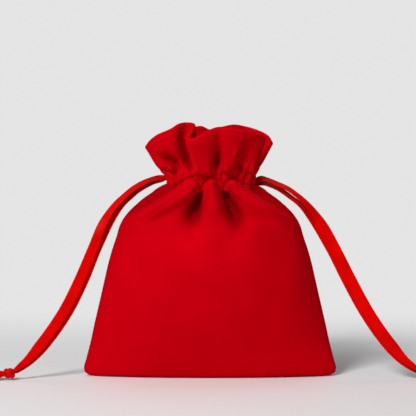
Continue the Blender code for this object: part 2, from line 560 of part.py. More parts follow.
def knot_place(knot, direction=(0.0, 0.0, 0.0)):
    """A knot's middle, or the place a little off its surface in a direction from there."""
    reach = 1.08 * KNOT_RADIUS + 1.5 * CLEARANCE
    middle = np.array((knot[0] * SCALE[0], knot[1] * SCALE[1], KNOT_RADIUS + 0.1 * MM))
    return middle + reach * np.asarray(direction)


def strand_route(side, which, points, knot, level, count):
    """From the slit over the shoulder and down to the knot."""
    depth = -ROPE_EXIT if which == "front" else ROPE_EXIT
    slit = [(EXIT_REACH + CLEARANCE + run, depth, level) for run in (0.1 * MM, 1.2 * MM)]
    route = np.vstack((slit, np.asarray(points) * SCALE, knot_place(knot, STRAND_ENTRIES[which])))
    return smooth_route(route * (side, 1, 1), count)


def strand_shape(side, route):
    """Tilt and share of the full width at each point: upright and bunched up in the slit, seen on
    edge where the ribbon arches over, then turning its face outward, and bunched at the knot."""
    near_slit = 1 - smooth_step(EXIT_REACH, EXIT_REACH + 7 * MM, abs(route[:, 0]))
    near_knot = 1 - smooth_step(3 * MM, 14 * MM, route[:, 2])
    turned = smooth_step(50 * MM, 70 * MM, route[:, 2])
    tilts = -side * np.radians(12 + 46 * turned) * (1 - near_slit)
    return tilts, 1 - 0.5 * near_knot - 0.4 * near_slit


def tail_route(side, which, points, knot, count):
    """From the knot down to the table and outward, lying flat."""
    start = knot_place(knot, TAIL_EXITS[which])
    middle = knot_place(knot) * (1, 1, 0)
    route = np.vstack((start, middle + np.asarray(points) * (MM, MM, MM)))
    return smooth_route(route * (side, 1, 1), count)


def add_drawstring(name, side, height):
    route = rope_route(side, height)
    ribbon(name, route, [0.0] * len(route), [1.0] * len(route), ROPE, ROPE_HEIGHT)


def add_strand(name, side, which, points, knot, level):
    route = strand_route(side, which, points, knot, level, 36)
    tilts, scales = strand_shape(side, route)
    ribbon(name, route, tilts, scales, RIBBON, RIBBON_WIDTH)


def add_tail(name, side, which, points, knot):
    route = tail_route(side, which, points, knot, 12)
    spread = smooth_step(0.0, 6 * MM, abs(route[:, 0]) - abs(route[0, 0]))
    ribbon(name, route, [math.pi / 2] * len(route), 0.5 + 0.45 * spread, RIBBON, RIBBON_WIDTH)


def add_knot(name, side, knot):
    """The two ends tied in one overhand knot, pulled tight: a small ball of crossing turns."""
    rings, spokes = 10, 16
    places, faces = [], []
    for ring in range(1, rings):
        down = math.pi * ring / rings
        for spoke in range(spokes):
            turn = 2 * math.pi * spoke / spokes
            band = math.cos(2 * turn + 3 * math.cos(down))
            reach = KNOT_RADIUS * (0.93 + 0.07 * abs(band) ** 0.6)
            places.append((1.1 * reach * math.cos(down), reach * math.sin(down) * math.cos(turn),
                           reach * math.sin(down) * math.sin(turn)))
    last = len(places)
    places += [(1.02 * KNOT_RADIUS, 0.0, 0.0), (-1.02 * KNOT_RADIUS, 0.0, 0.0)]
    for spoke in range(spokes):
        after = (spoke + 1) % spokes
        faces.append((last, spoke, after))
        foot = (rings - 2) * spokes
        faces.append((last + 1, foot + after, foot + spoke))
        for ring in range(rings - 2):
            row = ring * spokes
            faces.append((row + spoke, row + spokes + spoke, row + spokes + after, row + after))
    mesh = bpy.data.meshes.new(name)
    mesh.from_pydata(places, [], faces)
    mesh.shade_smooth()
    item = add_object(name, mesh, SATIN_RED, 0.35)
    item.location = knot_place(knot) * (side, 1, 1)
    return item


def main():
    for item in list(bpy.data.objects):
        bpy.data.objects.remove(item, do_unlink=True)
    add_panel(Panel("front_panel", 1, FRONT_RIM, FRONT_PLEATS, FRONT_FOLDS,
                    FRONT_SHOULDERS))
    add_panel(Panel("back_panel", -1, BACK_RIM, BACK_PLEATS, BACK_FOLDS,
                    BACK_SHOULDERS))
    upper, lower = EXIT_HEIGHT + LEVEL, EXIT_HEIGHT - LEVEL
    add_drawstring("left_drawstring", -1, upper)
    add_drawstring("right_drawstring", 1, lower)
    add_strand("left_front_strand", -1, "front", LEFT_FRONT_STRAND, LEFT_KNOT, upper)
    add_strand("left_back_strand", -1, "back", LEFT_BACK_STRAND, LEFT_KNOT, upper)
    add_strand("right_front_strand", 1, "front", RIGHT_FRONT_STRAND, RIGHT_KNOT, lower)
    add_strand("right_back_strand", 1, "back", RIGHT_BACK_STRAND, RIGHT_KNOT, lower)
    for name, side, knot in (("left", -1, LEFT_KNOT), ("right", 1, RIGHT_KNOT)):
        add_knot(name + "_knot", side, knot)
        add_tail(name + "_front_tail", side, "front", FRONT_TAIL, knot)
        add_tail(name + "_back_tail", side, "back", BACK_TAIL, knot)


main()
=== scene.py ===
import math

import bpy
import numpy as np
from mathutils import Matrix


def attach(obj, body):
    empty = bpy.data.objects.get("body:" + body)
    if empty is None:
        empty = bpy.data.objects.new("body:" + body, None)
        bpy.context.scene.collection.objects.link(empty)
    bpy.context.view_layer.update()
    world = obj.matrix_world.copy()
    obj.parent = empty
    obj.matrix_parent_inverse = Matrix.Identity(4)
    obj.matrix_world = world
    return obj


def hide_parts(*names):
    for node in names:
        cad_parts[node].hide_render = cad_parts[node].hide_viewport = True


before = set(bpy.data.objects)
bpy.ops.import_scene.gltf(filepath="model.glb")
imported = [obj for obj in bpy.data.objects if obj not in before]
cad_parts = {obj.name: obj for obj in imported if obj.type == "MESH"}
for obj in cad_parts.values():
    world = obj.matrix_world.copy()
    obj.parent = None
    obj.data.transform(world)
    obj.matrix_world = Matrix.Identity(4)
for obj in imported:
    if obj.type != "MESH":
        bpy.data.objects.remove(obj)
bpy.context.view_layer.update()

MM = 0.001

# Driving sizes
BODY_WIDTH = 100.8 * MM      # across the bottom corners
BODY_DEPTH = 40.8 * MM       # front to back at the fullest place
FULL_HEIGHT = 101.0 * MM     # to the highest point of the ruffle

CLOTH = 0.8 * MM             # one layer of velvet, with its pile
LAYER_GAP = 0.3 * MM         # between the two layers of the ruffle
SEAM_GAP = 0.3 * MM          # between the two panels along their seam
SLIT = 4.0 * MM              # between the panels at the casing, where the ribbons leave
HEM = 0.8 * MM               # end of the folded layer, below the casing
NECK_HALF_WIDTH = 16.4 * MM  # to the valleys of the pleats
NECK_HALF_DEPTH = 9.2 * MM
PLEAT_DEPTH = 1.9 * MM
SHOULDER_TUCK = 0.70         # share of the depth by which the sides are pushed in there
CORNER_LIFT = 0.1 * MM       # rise of the bottom seam at its two corners
SHOULDER_RISE = 1.4 * MM     # how much higher the shoulders meet the sides of the neck
FACING_PLEATS = 0.7          # height of the facing's pleats to those outside
LIP = 2.2 * MM               # step from the front of the body down to the casing and the gussets
LIP_ROUND = 0.9 * MM
BEHIND = 1.3 * MM            # how far the lining keeps back from such an edge
DENT = 0.7 * MM              # deepest dent in the pile over the casing
GROOVE_OFFSET = 0.7 * MM     # middle of the groove above the lip, and how wide it is
GROOVE_WIDTH = 0.5 * MM

RIBBON_WIDTH = 4.2 * MM
RIBBON = 0.4 * MM            # thickness
ROPE_HEIGHT = 2.0 * MM       # a ribbon bunched up inside the casing
ROPE = 1.0 * MM
ROPE_EXIT = 0.8 * MM         # from the middle plane to each ribbon end in the slit
CLEARANCE = 0.36 * MM
KNOT_RADIUS = 2.4 * MM

# What follows from them
SCALE = np.array((BODY_WIDTH, BODY_DEPTH, FULL_HEIGHT)) / (100.8, 40.8, 101.0)
CASING_BOTTOM = 0.746 * FULL_HEIGHT
CASING_TOP = CASING_BOTTOM + 2 * ROPE_HEIGHT + 3 * CLEARANCE
FOLD_RADIUS = CLOTH + LAYER_GAP / 2
TUNNEL = 2 * CLOTH + 2 * CLEARANCE + ROPE
ROPE_INSET = CLOTH + CLEARANCE + ROPE / 2
LEVEL = (ROPE_HEIGHT + CLEARANCE) / 2
EXIT_HEIGHT = (CASING_BOTTOM + CASING_TOP) / 2
EXIT_REACH = NECK_HALF_WIDTH - 0.3 * MM

# The tables below are drawn in millimetres for the sizes above and stretched by SCALE.
# Depth and height of the middle of a panel, from the bottom seam up to the casing
PROFILE = (
    (0.15, 0.0), (3.0, 0.0), (6.0, 0.0), (8.3, 0.8), (10.0, 3.4), (13.0, 10.0), (17.0, 21.0),
    (19.8, 33.0), (20.4, 44.0), (19.2, 53.0), (17.0, 60.0), (14.8, 65.0), (12.6, 69.2),
    (10.7, 72.4),
)
# Height and half width of the outline seen from the front
OUTLINE = (
    (0.0, 48.4), (0.8, 49.9), (2.0, 50.4), (6.8, 49.5), (13.0, 47.9), (20.0, 46.4), (26.0, 45.0),
    (32.0, 43.6), (39.0, 42.0), (45.0, 40.6), (50.0, 39.2), (56.0, 37.2), (60.0, 36.0),
    (63.0, 34.4), (66.0, 32.0), (69.0, 28.8), (71.0, 26.4), (73.0, 23.4), (74.2, 21.0),
)
# The rim as it lies: share of the cloth's width, across, depth and height of each point
FRONT_RIM = (
    (0.00, -25.6, 1.6, 90.7), (0.04, -24.2, 4.0, 92.7), (0.09, -21.6, 6.8, 95.0),
    (0.17, -16.6, 9.4, 97.3), (0.25, -12.2, 8.8, 99.2), (0.30, -9.2, 6.6, 100.2),
    (0.335, -7.6, 7.0, 100.0), (0.365, -7.8, 9.6, 98.4), (0.395, -9.1, 12.6, 96.0),
    (0.425, -9.4, 15.3, 94.3), (0.455, -7.2, 16.8, 93.8), (0.49, -3.6, 16.9, 95.3),
    (0.53, 0.0, 16.5, 97.2), (0.57, 3.4, 15.7, 98.2), (0.61, 6.6, 15.5, 98.2),
    (0.67, 10.6, 14.8, 97.8), (0.74, 15.2, 13.0, 96.9), (0.84, 20.0, 9.2, 95.4),
    (0.93, 22.0, 5.4, 94.4), (1.00, 21.8, 3.0, 93.0),
)
BACK_RIM = (
    (0.00, -25.2, 1.6, 90.4), (0.09, -21.4, 6.2, 93.6), (0.18, -15.8, 9.6, 96.6),
    (0.26, -11.0, 7.6, 97.6), (0.35, -6.2, 10.8, 98.3), (0.39, -3.8, 11.6, 98.5),
    (0.43, -1.4, 12.4, 97.4), (0.47, 1.0, 12.2, 96.9), (0.51, 3.4, 11.4, 97.6),
    (0.56, 6.2, 10.8, 98.5), (0.60, 8.6, 10.6, 99.1), (0.70, 14.0, 12.8, 98.3),
    (0.79, 18.8, 11.0, 97.0), (0.90, 23.4, 6.0, 94.8), (1.00, 25.0, 1.6, 92.2),
)
# Valleys of the casing's pleats, as shares of the cloth's width
FRONT_PLEATS = (0.0, 0.11, 0.221, 0.279, 0.368, 0.475, 0.553, 0.597, 0.68, 0.724, 0.80, 0.90, 1.0)
BACK_PLEATS = (0.0, 0.12, 0.20, 0.29, 0.36, 0.44, 0.51, 0.60, 0.67, 0.745, 0.82, 0.90, 1.0)

# Folds as soft strokes on the panel: x, height, half width and rise of each point
FRONT_FOLDS = {
    "left ridge": ((-6.6, 77.4, 2.2, 3.4), (-9.8, 74.2, 3.0, 3.8), (-16.4, 70.6, 3.2, 3.2),
                   (-24.6, 65.8, 3.4, 2.2), (-31.8, 62.2, 4.2, 0.4)),
    "middle ridge": ((0.7, 77.2, 1.9, 3.4), (0.8, 74.0, 2.4, 4.0), (1.0, 69.0, 3.5, 3.0),
                     (1.4, 61.0, 6.0, 0.0)),
    "right ridge": ((8.9, 77.2, 2.2, 3.4), (11.8, 74.6, 2.9, 3.6), (17.0, 71.4, 3.2, 3.2),
                    (25.2, 65.8, 3.4, 2.2), (32.6, 61.8, 4.2, 0.4)),
    "left valley": ((-3.5, 75.0, 1.1, -2.6), (-4.2, 72.2, 1.8, -7.4), (-5.0, 69.0, 2.4, -8.0),
                    (-6.2, 65.4, 3.2, -6.2), (-7.6, 61.2, 4.2, -3.4), (-8.8, 55.0, 5.6, 0.0)),
    "left flank": ((-7.4, 71.4, 2.8, -0.6), (-8.6, 67.4, 4.0, -1.6), (-10.4, 62.0, 4.6, 0.0)),
    "right valley": ((5.2, 75.0, 1.1, -2.6), (6.4, 72.2, 1.8, -7.4), (8.4, 68.2, 2.6, -7.8),
                     (11.0, 63.4, 3.6, -4.2), (14.6, 57.4, 5.2, 0.0)),
    "left crest": ((-8.6, 77.2, 1.2, 0.3), (-15.6, 72.6, 1.3, 0.8), (-24.0, 67.2, 1.4, 0.9),
                   (-31.0, 63.4, 1.8, 0.2)),
    "right crest": ((10.4, 77.2, 1.2, 0.3), (16.2, 73.4, 1.3, 0.8), (24.4, 67.4, 1.4, 0.9),
                    (31.4, 63.2, 1.8, 0.2)),
    "left tip": ((-3.0, 78.4, 1.2, 0.6), (-3.2, 75.4, 1.0, 1.4), (-3.4, 72.6, 0.8, 0.8)),
    "right tip": ((4.7, 78.0, 1.2, 0.6), (4.9, 75.0, 1.0, 1.4), (5.0, 71.8, 0.8, 0.8)),
    "left swell": ((-7.4, 54.0, 5.0, 0.7), (-5.0, 55.4, 5.0, 0.4)),
    "right swell": ((12.7, 52.6, 5.0, 0.5), (15.6, 54.4, 4.6, 0.3)),
    "left lobe": ((-17.6, 90.6, 4.6, 1.2), (-14.0, 91.4, 5.0, 1.2)),
    "left belly": ((-18.0, 84.2, 1.4, 1.1), (-14.8, 83.3, 1.3, 2.4), (-12.6, 83.2, 1.0, 1.0)),
    "left crease": ((-20.0, 88.4, 2.2, -0.4), (-16.8, 87.4, 2.3, -1.5), (-13.6, 85.6, 2.2, -1.4),
                    (-11.4, 82.8, 1.8, -0.4)),
    "lobe valley": ((-10.8, 97.6, 1.7, -1.4), (-10.4, 94.0, 2.0, -3.4), (-9.6, 89.6, 2.0, -4.8),
                    (-8.6, 86.0, 1.7, -4.8), (-7.6, 83.0, 1.1, -2.8)),
    "lobe edge": ((-9.2, 94.6, 0.9, 0.9), (-8.2, 91.0, 1.0, 1.5), (-6.6, 86.4, 1.0, 1.8),
                  (-5.2, 82.4, 1.0, 1.4)),
    "centre lobe": ((-3.2, 91.0, 4.2, 0.5), (-2.2, 86.0, 3.4, 1.2), (-2.6, 82.6, 2.6, 1.6)),
    "centre valley": ((3.5, 96.6, 1.6, -0.4), (3.2, 92.0, 1.9, -2.2), (3.0, 88.0, 1.9, -4.2),
                      (2.8, 85.4, 1.6, -5.0), (2.7, 83.2, 1.1, -2.6), (2.6, 80.6, 0.7, -0.8)),
    "right lobe": ((9.2, 92.0, 3.6, 0.6), (8.4, 87.0, 2.9, 1.4), (6.5, 83.2, 2.1, 1.8)),
    "right crease": ((10.9, 86.4, 1.5, -0.6), (11.7, 83.6, 1.4, -1.6), (13.0, 80.4, 1.2, -0.6)),
    "right hollow": ((15.4, 92.0, 3.2, -1.4), (13.4, 87.4, 2.3, -2.2)),
    "right belly": ((18.0, 84.4, 1.8, 0.6), (15.2, 83.0, 1.7, 1.0)),
    "soft ridge": ((33.6, 60.0, 4.0, 0.0), (33.6, 42.0, 5.0, 0.9), (34.0, 18.0, 6.0, 0.0)),
    "left cleft": ((-3.7, 73.6, 0.9, -1.0), (-4.4, 71.0, 1.2, -3.6), (-5.2, 67.6, 1.6, -4.2),
                   (-6.2, 63.6, 2.2, -1.6)),
    "right cleft": ((5.9, 73.6, 0.9, -1.0), (6.8, 71.0, 1.2, -3.6), (8.4, 66.8, 1.6, -4.0),
                    (10.6, 62.0, 2.2, -1.4)),
    "centre lip": ((-5.6, 81.6, 0.9, 0.5), (-3.0, 80.9, 1.2, 1.1), (-0.6, 81.8, 0.8, 0.4)),
    "under lip": ((-5.0, 80.0, 0.7, -0.6), (-3.0, 79.4, 0.8, -1.2), (-1.0, 80.2, 0.7, -0.6)),
    "tongue notch": ((0.9, 81.0, 0.8, -0.6), (0.9, 79.8, 0.9, -1.6)),
    "smile": ((4.2, 83.4, 0.9, 0.3), (5.4, 82.4, 1.1, 1.0), (7.6, 82.3, 1.1, 1.0),
              (9.0, 83.4, 0.8, 0.3)),
    "under smile": ((4.2, 82.2, 0.6, -0.4), (5.4, 81.1, 0.8, -1.4), (7.4, 81.0, 0.8, -1.4),
                    (9.0, 82.2, 0.6, -0.4)),
    "belly fold": ((-18.6, 82.4, 0.6, -0.8), (-15.0, 81.7, 0.7, -3.4), (-12.2, 82.0, 0.6, -1.6)),
    "crease": ((-20.4, 87.6, 1.5, -1.0), (-17.2, 87.0, 1.7, -3.8), (-14.0, 85.4, 1.4, -4.4),
               (-12.0, 82.8, 0.9, -2.6)),
    "lobe crease": ((-8.6, 87.0, 0.9, -0.8), (-7.6, 84.0, 0.8, -1.4), (-6.8, 81.6, 0.7, -0.8)),
    "right wrinkle": ((10.4, 86.6, 0.9, -0.8), (11.2, 84.4, 0.9, -1.8), (12.6, 81.4, 0.7, -1.2),
                      (13.8, 78.4, 0.6, -0.6)),
    "right fold": ((12.0, 92.4, 1.6, 0.2), (10.4, 88.4, 1.4, 0.9), (9.2, 85.0, 1.1, 0.8)),
}
BACK_FOLDS = {
    "left ridge": ((-8.0, 77.2, 2.2, 3.0), (-11.0, 74.2, 3.0, 3.4), (-18.0, 70.0, 3.4, 2.6),
                   (-28.0, 64.6, 4.0, 0.8)),
    "middle ridge": ((-1.4, 77.2, 2.0, 3.0), (-1.6, 73.6, 2.6, 3.6), (-2.0, 68.4, 4.0, 2.4),
                     (-2.6, 61.0, 6.0, 0.0)),
    "right ridge": ((6.4, 77.2, 2.2, 3.0), (8.8, 74.4, 3.0, 3.4), (15.4, 71.0, 3.4, 2.6),
                    (26.8, 65.4, 4.0, 0.8)),
    "left valley": ((-5.0, 75.4, 1.6, -1.0), (-6.2, 71.6, 2.3, -3.8), (-8.0, 67.0, 3.2, -3.4),
                    (-11.0, 59.0, 4.6, 0.0)),
    "right valley": ((2.6, 75.4, 1.6, -1.0), (3.4, 71.6, 2.3, -4.0), (4.4, 67.0, 3.2, -3.4),
                     (7.0, 58.0, 4.6, 0.0)),
    "left hollow": ((-11.6, 94.0, 3.0, -0.8), (-10.0, 87.0, 3.0, -1.6), (-9.4, 83.4, 2.3, -0.6)),
    "left lobe": ((-4.8, 90.0, 3.4, 0.6), (-3.0, 84.4, 2.6, 1.6), (-2.4, 81.8, 2.0, 1.2)),
    "right hollow": ((5.4, 94.0, 3.2, -0.6), (5.0, 87.0, 3.0, -1.6), (4.6, 83.4, 2.3, -0.6)),
    "right lobe": ((12.4, 91.0, 3.6, 0.6), (10.6, 85.0, 2.8, 1.2), (9.6, 82.0, 2.0, 1.0)),
}

# How far the sides of the neck flare to the left and to the right
FLARE = {"front": (1.1 * MM, 0.5 * MM), "back": (1.1 * MM, 0.7 * MM)}

# Upper edge of the body's front: a shoulder, the three tongues and the other shoulder
FRONT_EDGE = (
    (-60.0, 50.0), (-40.0, 59.4), (-36.0, 61.6), (-29.6, 64.6), (-23.6, 68.0), (-15.8, 73.4),
    (-12.0, 76.0), (-9.6, 77.9), (-8.2, 78.9), (-7.0, 79.3), (-5.9, 79.0), (-5.0, 77.9),
    (-4.3, 75.4), (-3.6, 72.8), (-3.2, 71.6), (-2.8, 72.8), (-2.4, 75.2), (-1.7, 77.3),
    (-0.6, 78.5), (0.8, 78.9), (2.1, 78.4), (3.1, 77.0), (3.8, 74.4), (4.5, 71.8), (4.9, 70.9),
    (5.3, 71.8), (5.8, 74.4), (6.5, 76.8), (7.4, 78.2), (8.6, 78.8), (10.0, 78.4), (12.2, 76.8),
    (16.0, 74.0), (21.6, 70.0), (28.0, 66.0), (36.0, 61.4), (40.0, 59.2), (60.0, 50.0),
)
BACK_EDGE = (
    (-60.0, 50.0), (-40.0, 60.0), (-36.0, 62.2), (-26.0, 68.0), (-17.6, 73.4), (-11.6, 77.6),
    (-9.4, 78.8), (-7.4, 78.4), (-6.0, 76.0), (-5.0, 72.4), (-4.0, 76.0), (-2.6, 78.3),
    (-1.0, 78.8), (0.8, 78.0), (2.0, 75.6), (3.0, 72.2), (4.0, 75.6), (5.2, 78.0), (7.0, 78.8),
    (9.0, 78.2),
    (17.4, 73.6), (26.4, 67.6), (36.0, 62.0), (40.0, 59.6), (60.0, 50.0),
)

# Painted light and shade on the velvet and the ribbons: EVEN_TONE leaves the colour as it is, more
# is a painted highlight and less a painted shade
EVEN_TONE = 0.5
FOLD_HIGHLIGHT = 0.6              # painted highlight over the rim; the facing and the lining side get it too
SATIN_PAINTED_SHADE = 0.3            # painted shade: how much darker the ribbons are at the neck
# Painted highlights on the front, and one faint painted shade: x, height, radius and share
PAINTED_LIGHT_SPOTS = ((-7.5, 54.0, 7.5, 0.20), (12.7, 52.6, 6.0, 0.10), (2.0, 52.0, 3.2, -0.05),
           (-35.0, 46.0, 5.0, 0.05))
# Painted highlight line along the left edge of the middle lobe, laid as a fold stroke
LOBE_EDGE_HIGHLIGHT = ((-9.8, 95.4, 0.6, 0.26), (-8.2, 91.0, 0.6, 0.22), (-6.4, 86.2, 0.6, 0.22),
             (-4.6, 81.2, 0.6, 0.16))

# Rows of the mesh: from one stage to the next by about a step. Stages 0 to 1 go up the body,
# 1 to 2 up the casing and 2 to 3 up the ruffle.
OUTER_ROWS = ((0.0, 0.12, 0.006), (0.12, 0.135, 0.015), (0.135, 0.70, 0.015), (0.70, 1.0, 0.005),
              (1.0, 2.0, 0.05), (2.0, 3.0, 0.03))
PER_PLEAT = 14               # columns of the mesh to each pleat
FOLD_STEP = 15               # degrees from row to row around the rim
SEWN = 0.99                  # stage up to which the panels are sewn together
FACING_END = 1 - HEM / (CASING_TOP - CASING_BOTTOM)
NUDGE = 1e-4                 # share of the cloth's width from which its direction is read

# The free ribbon ends below the slit: distance from the middle, depth and height
LEFT_FRONT_STRAND = (
    (19.2, -0.9, 79.1), (21.6, -1.0, 78.9), (24.4, -1.1, 78.1), (27.4, -1.3, 76.8),
    (30.4, -1.6, 75.0), (33.8, -2.1, 72.2), (37.2, -2.7, 69.0), (41.6, -3.7, 62.8),
    (46.3, -5.0, 51.6), (51.7, -6.6, 38.8), (58.2, -8.4, 26.0), (62.4, -9.4, 19.6),
    (67.2, -10.6, 13.2), (72.4, -11.7, 7.4),
)
LEFT_BACK_STRAND = (
    (19.2, 0.9, 78.5), (21.6, 1.0, 77.7), (24.2, 1.0, 76.5), (26.8, 0.9, 75.1),
    (29.4, 0.7, 73.4), (31.6, 0.4, 71.5), (34.6, 0.0, 68.7), (39.4, -1.1, 62.2),
    (44.8, -3.0, 51.6), (50.1, -4.8, 38.8), (56.5, -6.8, 26.0), (60.7, -7.8, 19.6),
    (65.6, -9.0, 13.2), (71.2, -10.3, 6.8),
)
RIGHT_FRONT_STRAND = (
    (18.6, -0.9, 78.0), (20.4, -1.0, 78.8), (22.4, -1.0, 78.4), (24.6, -1.1, 77.6),
    (27.2, -1.3, 76.5), (30.4, -1.6, 75.1), (34.8, -2.1, 72.0), (38.2, -2.7, 69.0),
    (43.4, -3.7, 62.6),
    (49.4, -5.0, 51.6), (55.9, -6.6, 38.8), (62.9, -8.4, 26.0), (67.1, -9.4, 19.6),
    (71.9, -10.6, 13.2), (77.3, -11.7, 7.4),
)
RIGHT_BACK_STRAND = (
    (18.6, 0.9, 76.9), (21.0, 1.0, 77.0), (24.0, 1.0, 76.1), (26.8, 0.9, 74.9),
    (29.6, 0.7, 73.2), (32.2, 0.4, 71.3), (36.0, 0.0, 68.3), (41.2, -1.1, 62.0),
    (47.8, -3.0, 51.6), (54.3, -4.8, 38.8), (61.3, -6.8, 26.0), (65.5, -7.8, 19.6),
    (70.4, -9.0, 13.2), (76.1, -10.3, 6.8),
)
LEFT_KNOT = (79.0, -12.2)     # distance from the middle and depth
RIGHT_KNOT = (84.3, -12.2)
# Tails beyond the knot's middle: away from the pouch, depth and height
FRONT_TAIL = ((0.4, -0.2, 2.5), (2.4, -0.8, 2.4), (4.6, -2.0, 2.2), (7.6, -3.6, 1.9),
              (11.2, -5.2, 1.5), (15.6, -6.9, 1.0))
BACK_TAIL = ((0.4, 0.3, 2.3), (2.4, 0.7, 2.2), (4.8, 1.6, 2.0), (8.0, 2.7, 1.8),
             (11.8, 3.8, 1.4), (16.4, 5.2, 0.9))
# Directions from a knot's middle to where the strands enter it
STRAND_POINTS = 160
STRAND_ENTRIES = {"front": (-0.80, -0.28, 0.53), "back": (-0.93, 0.30, 0.20)}


def smooth_step(low, high, value):
    share = np.clip((value - low) / (high - low), 0.0, 1.0)
    return share * share * (3.0 - 2.0 * share)


def curve_through(knots, at):
    """Smooth curve through knots (position, values...), read at the positions in at."""
    knots = np.asarray(knots, float)
    where, values = knots[:, 0], knots[:, 1:]
    slopes = np.gradient(values, where, axis=0)
    at = np.clip(at, where[0], where[-1])
    index = np.clip(np.searchsorted(where, at, side="right") - 1, 0, len(where) - 2)
    span = where[index + 1] - where[index]
    share = ((at - where[index]) / span)[..., None]
    span = span[..., None]
    square, cube = share**2, share**3
    return (
        (2 * cube - 3 * square + 1) * values[index]
        + (cube - 2 * square + share) * span * slopes[index]
        + (3 * square - 2 * cube) * values[index + 1]
        + (cube - square) * span * slopes[index + 1]
    )


def stroke(points, across, height, thickness):
    """Rise of one soft fold at each place of the panel. Behind the velvet, where thickness is the
    depth of cloth that has to bend, a ridge stays as blunt as that cloth allows."""
    nearest = np.full(across.shape, np.inf)
    rise = np.zeros(across.shape)
    for start, end in zip(points[:-1], points[1:]):
        start = np.asarray(start) * (SCALE[0], SCALE[2], MM, MM)
        end = np.asarray(end) * (SCALE[0], SCALE[2], MM, MM)
        run = end[:2] - start[:2]
        share = ((across - start[0]) * run[0] + (height - start[1]) * run[1]) / (run @ run)
        share = np.clip(share, 0.0, 1.0)
        gap = np.hypot(across - start[0] - share * run[0], height - start[1] - share * run[1])
        width = start[2] + share * (end[2] - start[2])
        level = start[3] + share * (end[3] - start[3])
        level = np.minimum(level, 0.23 * width**2 / np.maximum(thickness, 1e-6))
        closer = gap / width < nearest
        nearest = np.where(closer, gap / width, nearest)
        soft = np.where(level > 0, (gap / width) ** 3, (gap / width) ** 2)
        rise = np.where(closer, level * np.exp(-soft), rise)
    return rise


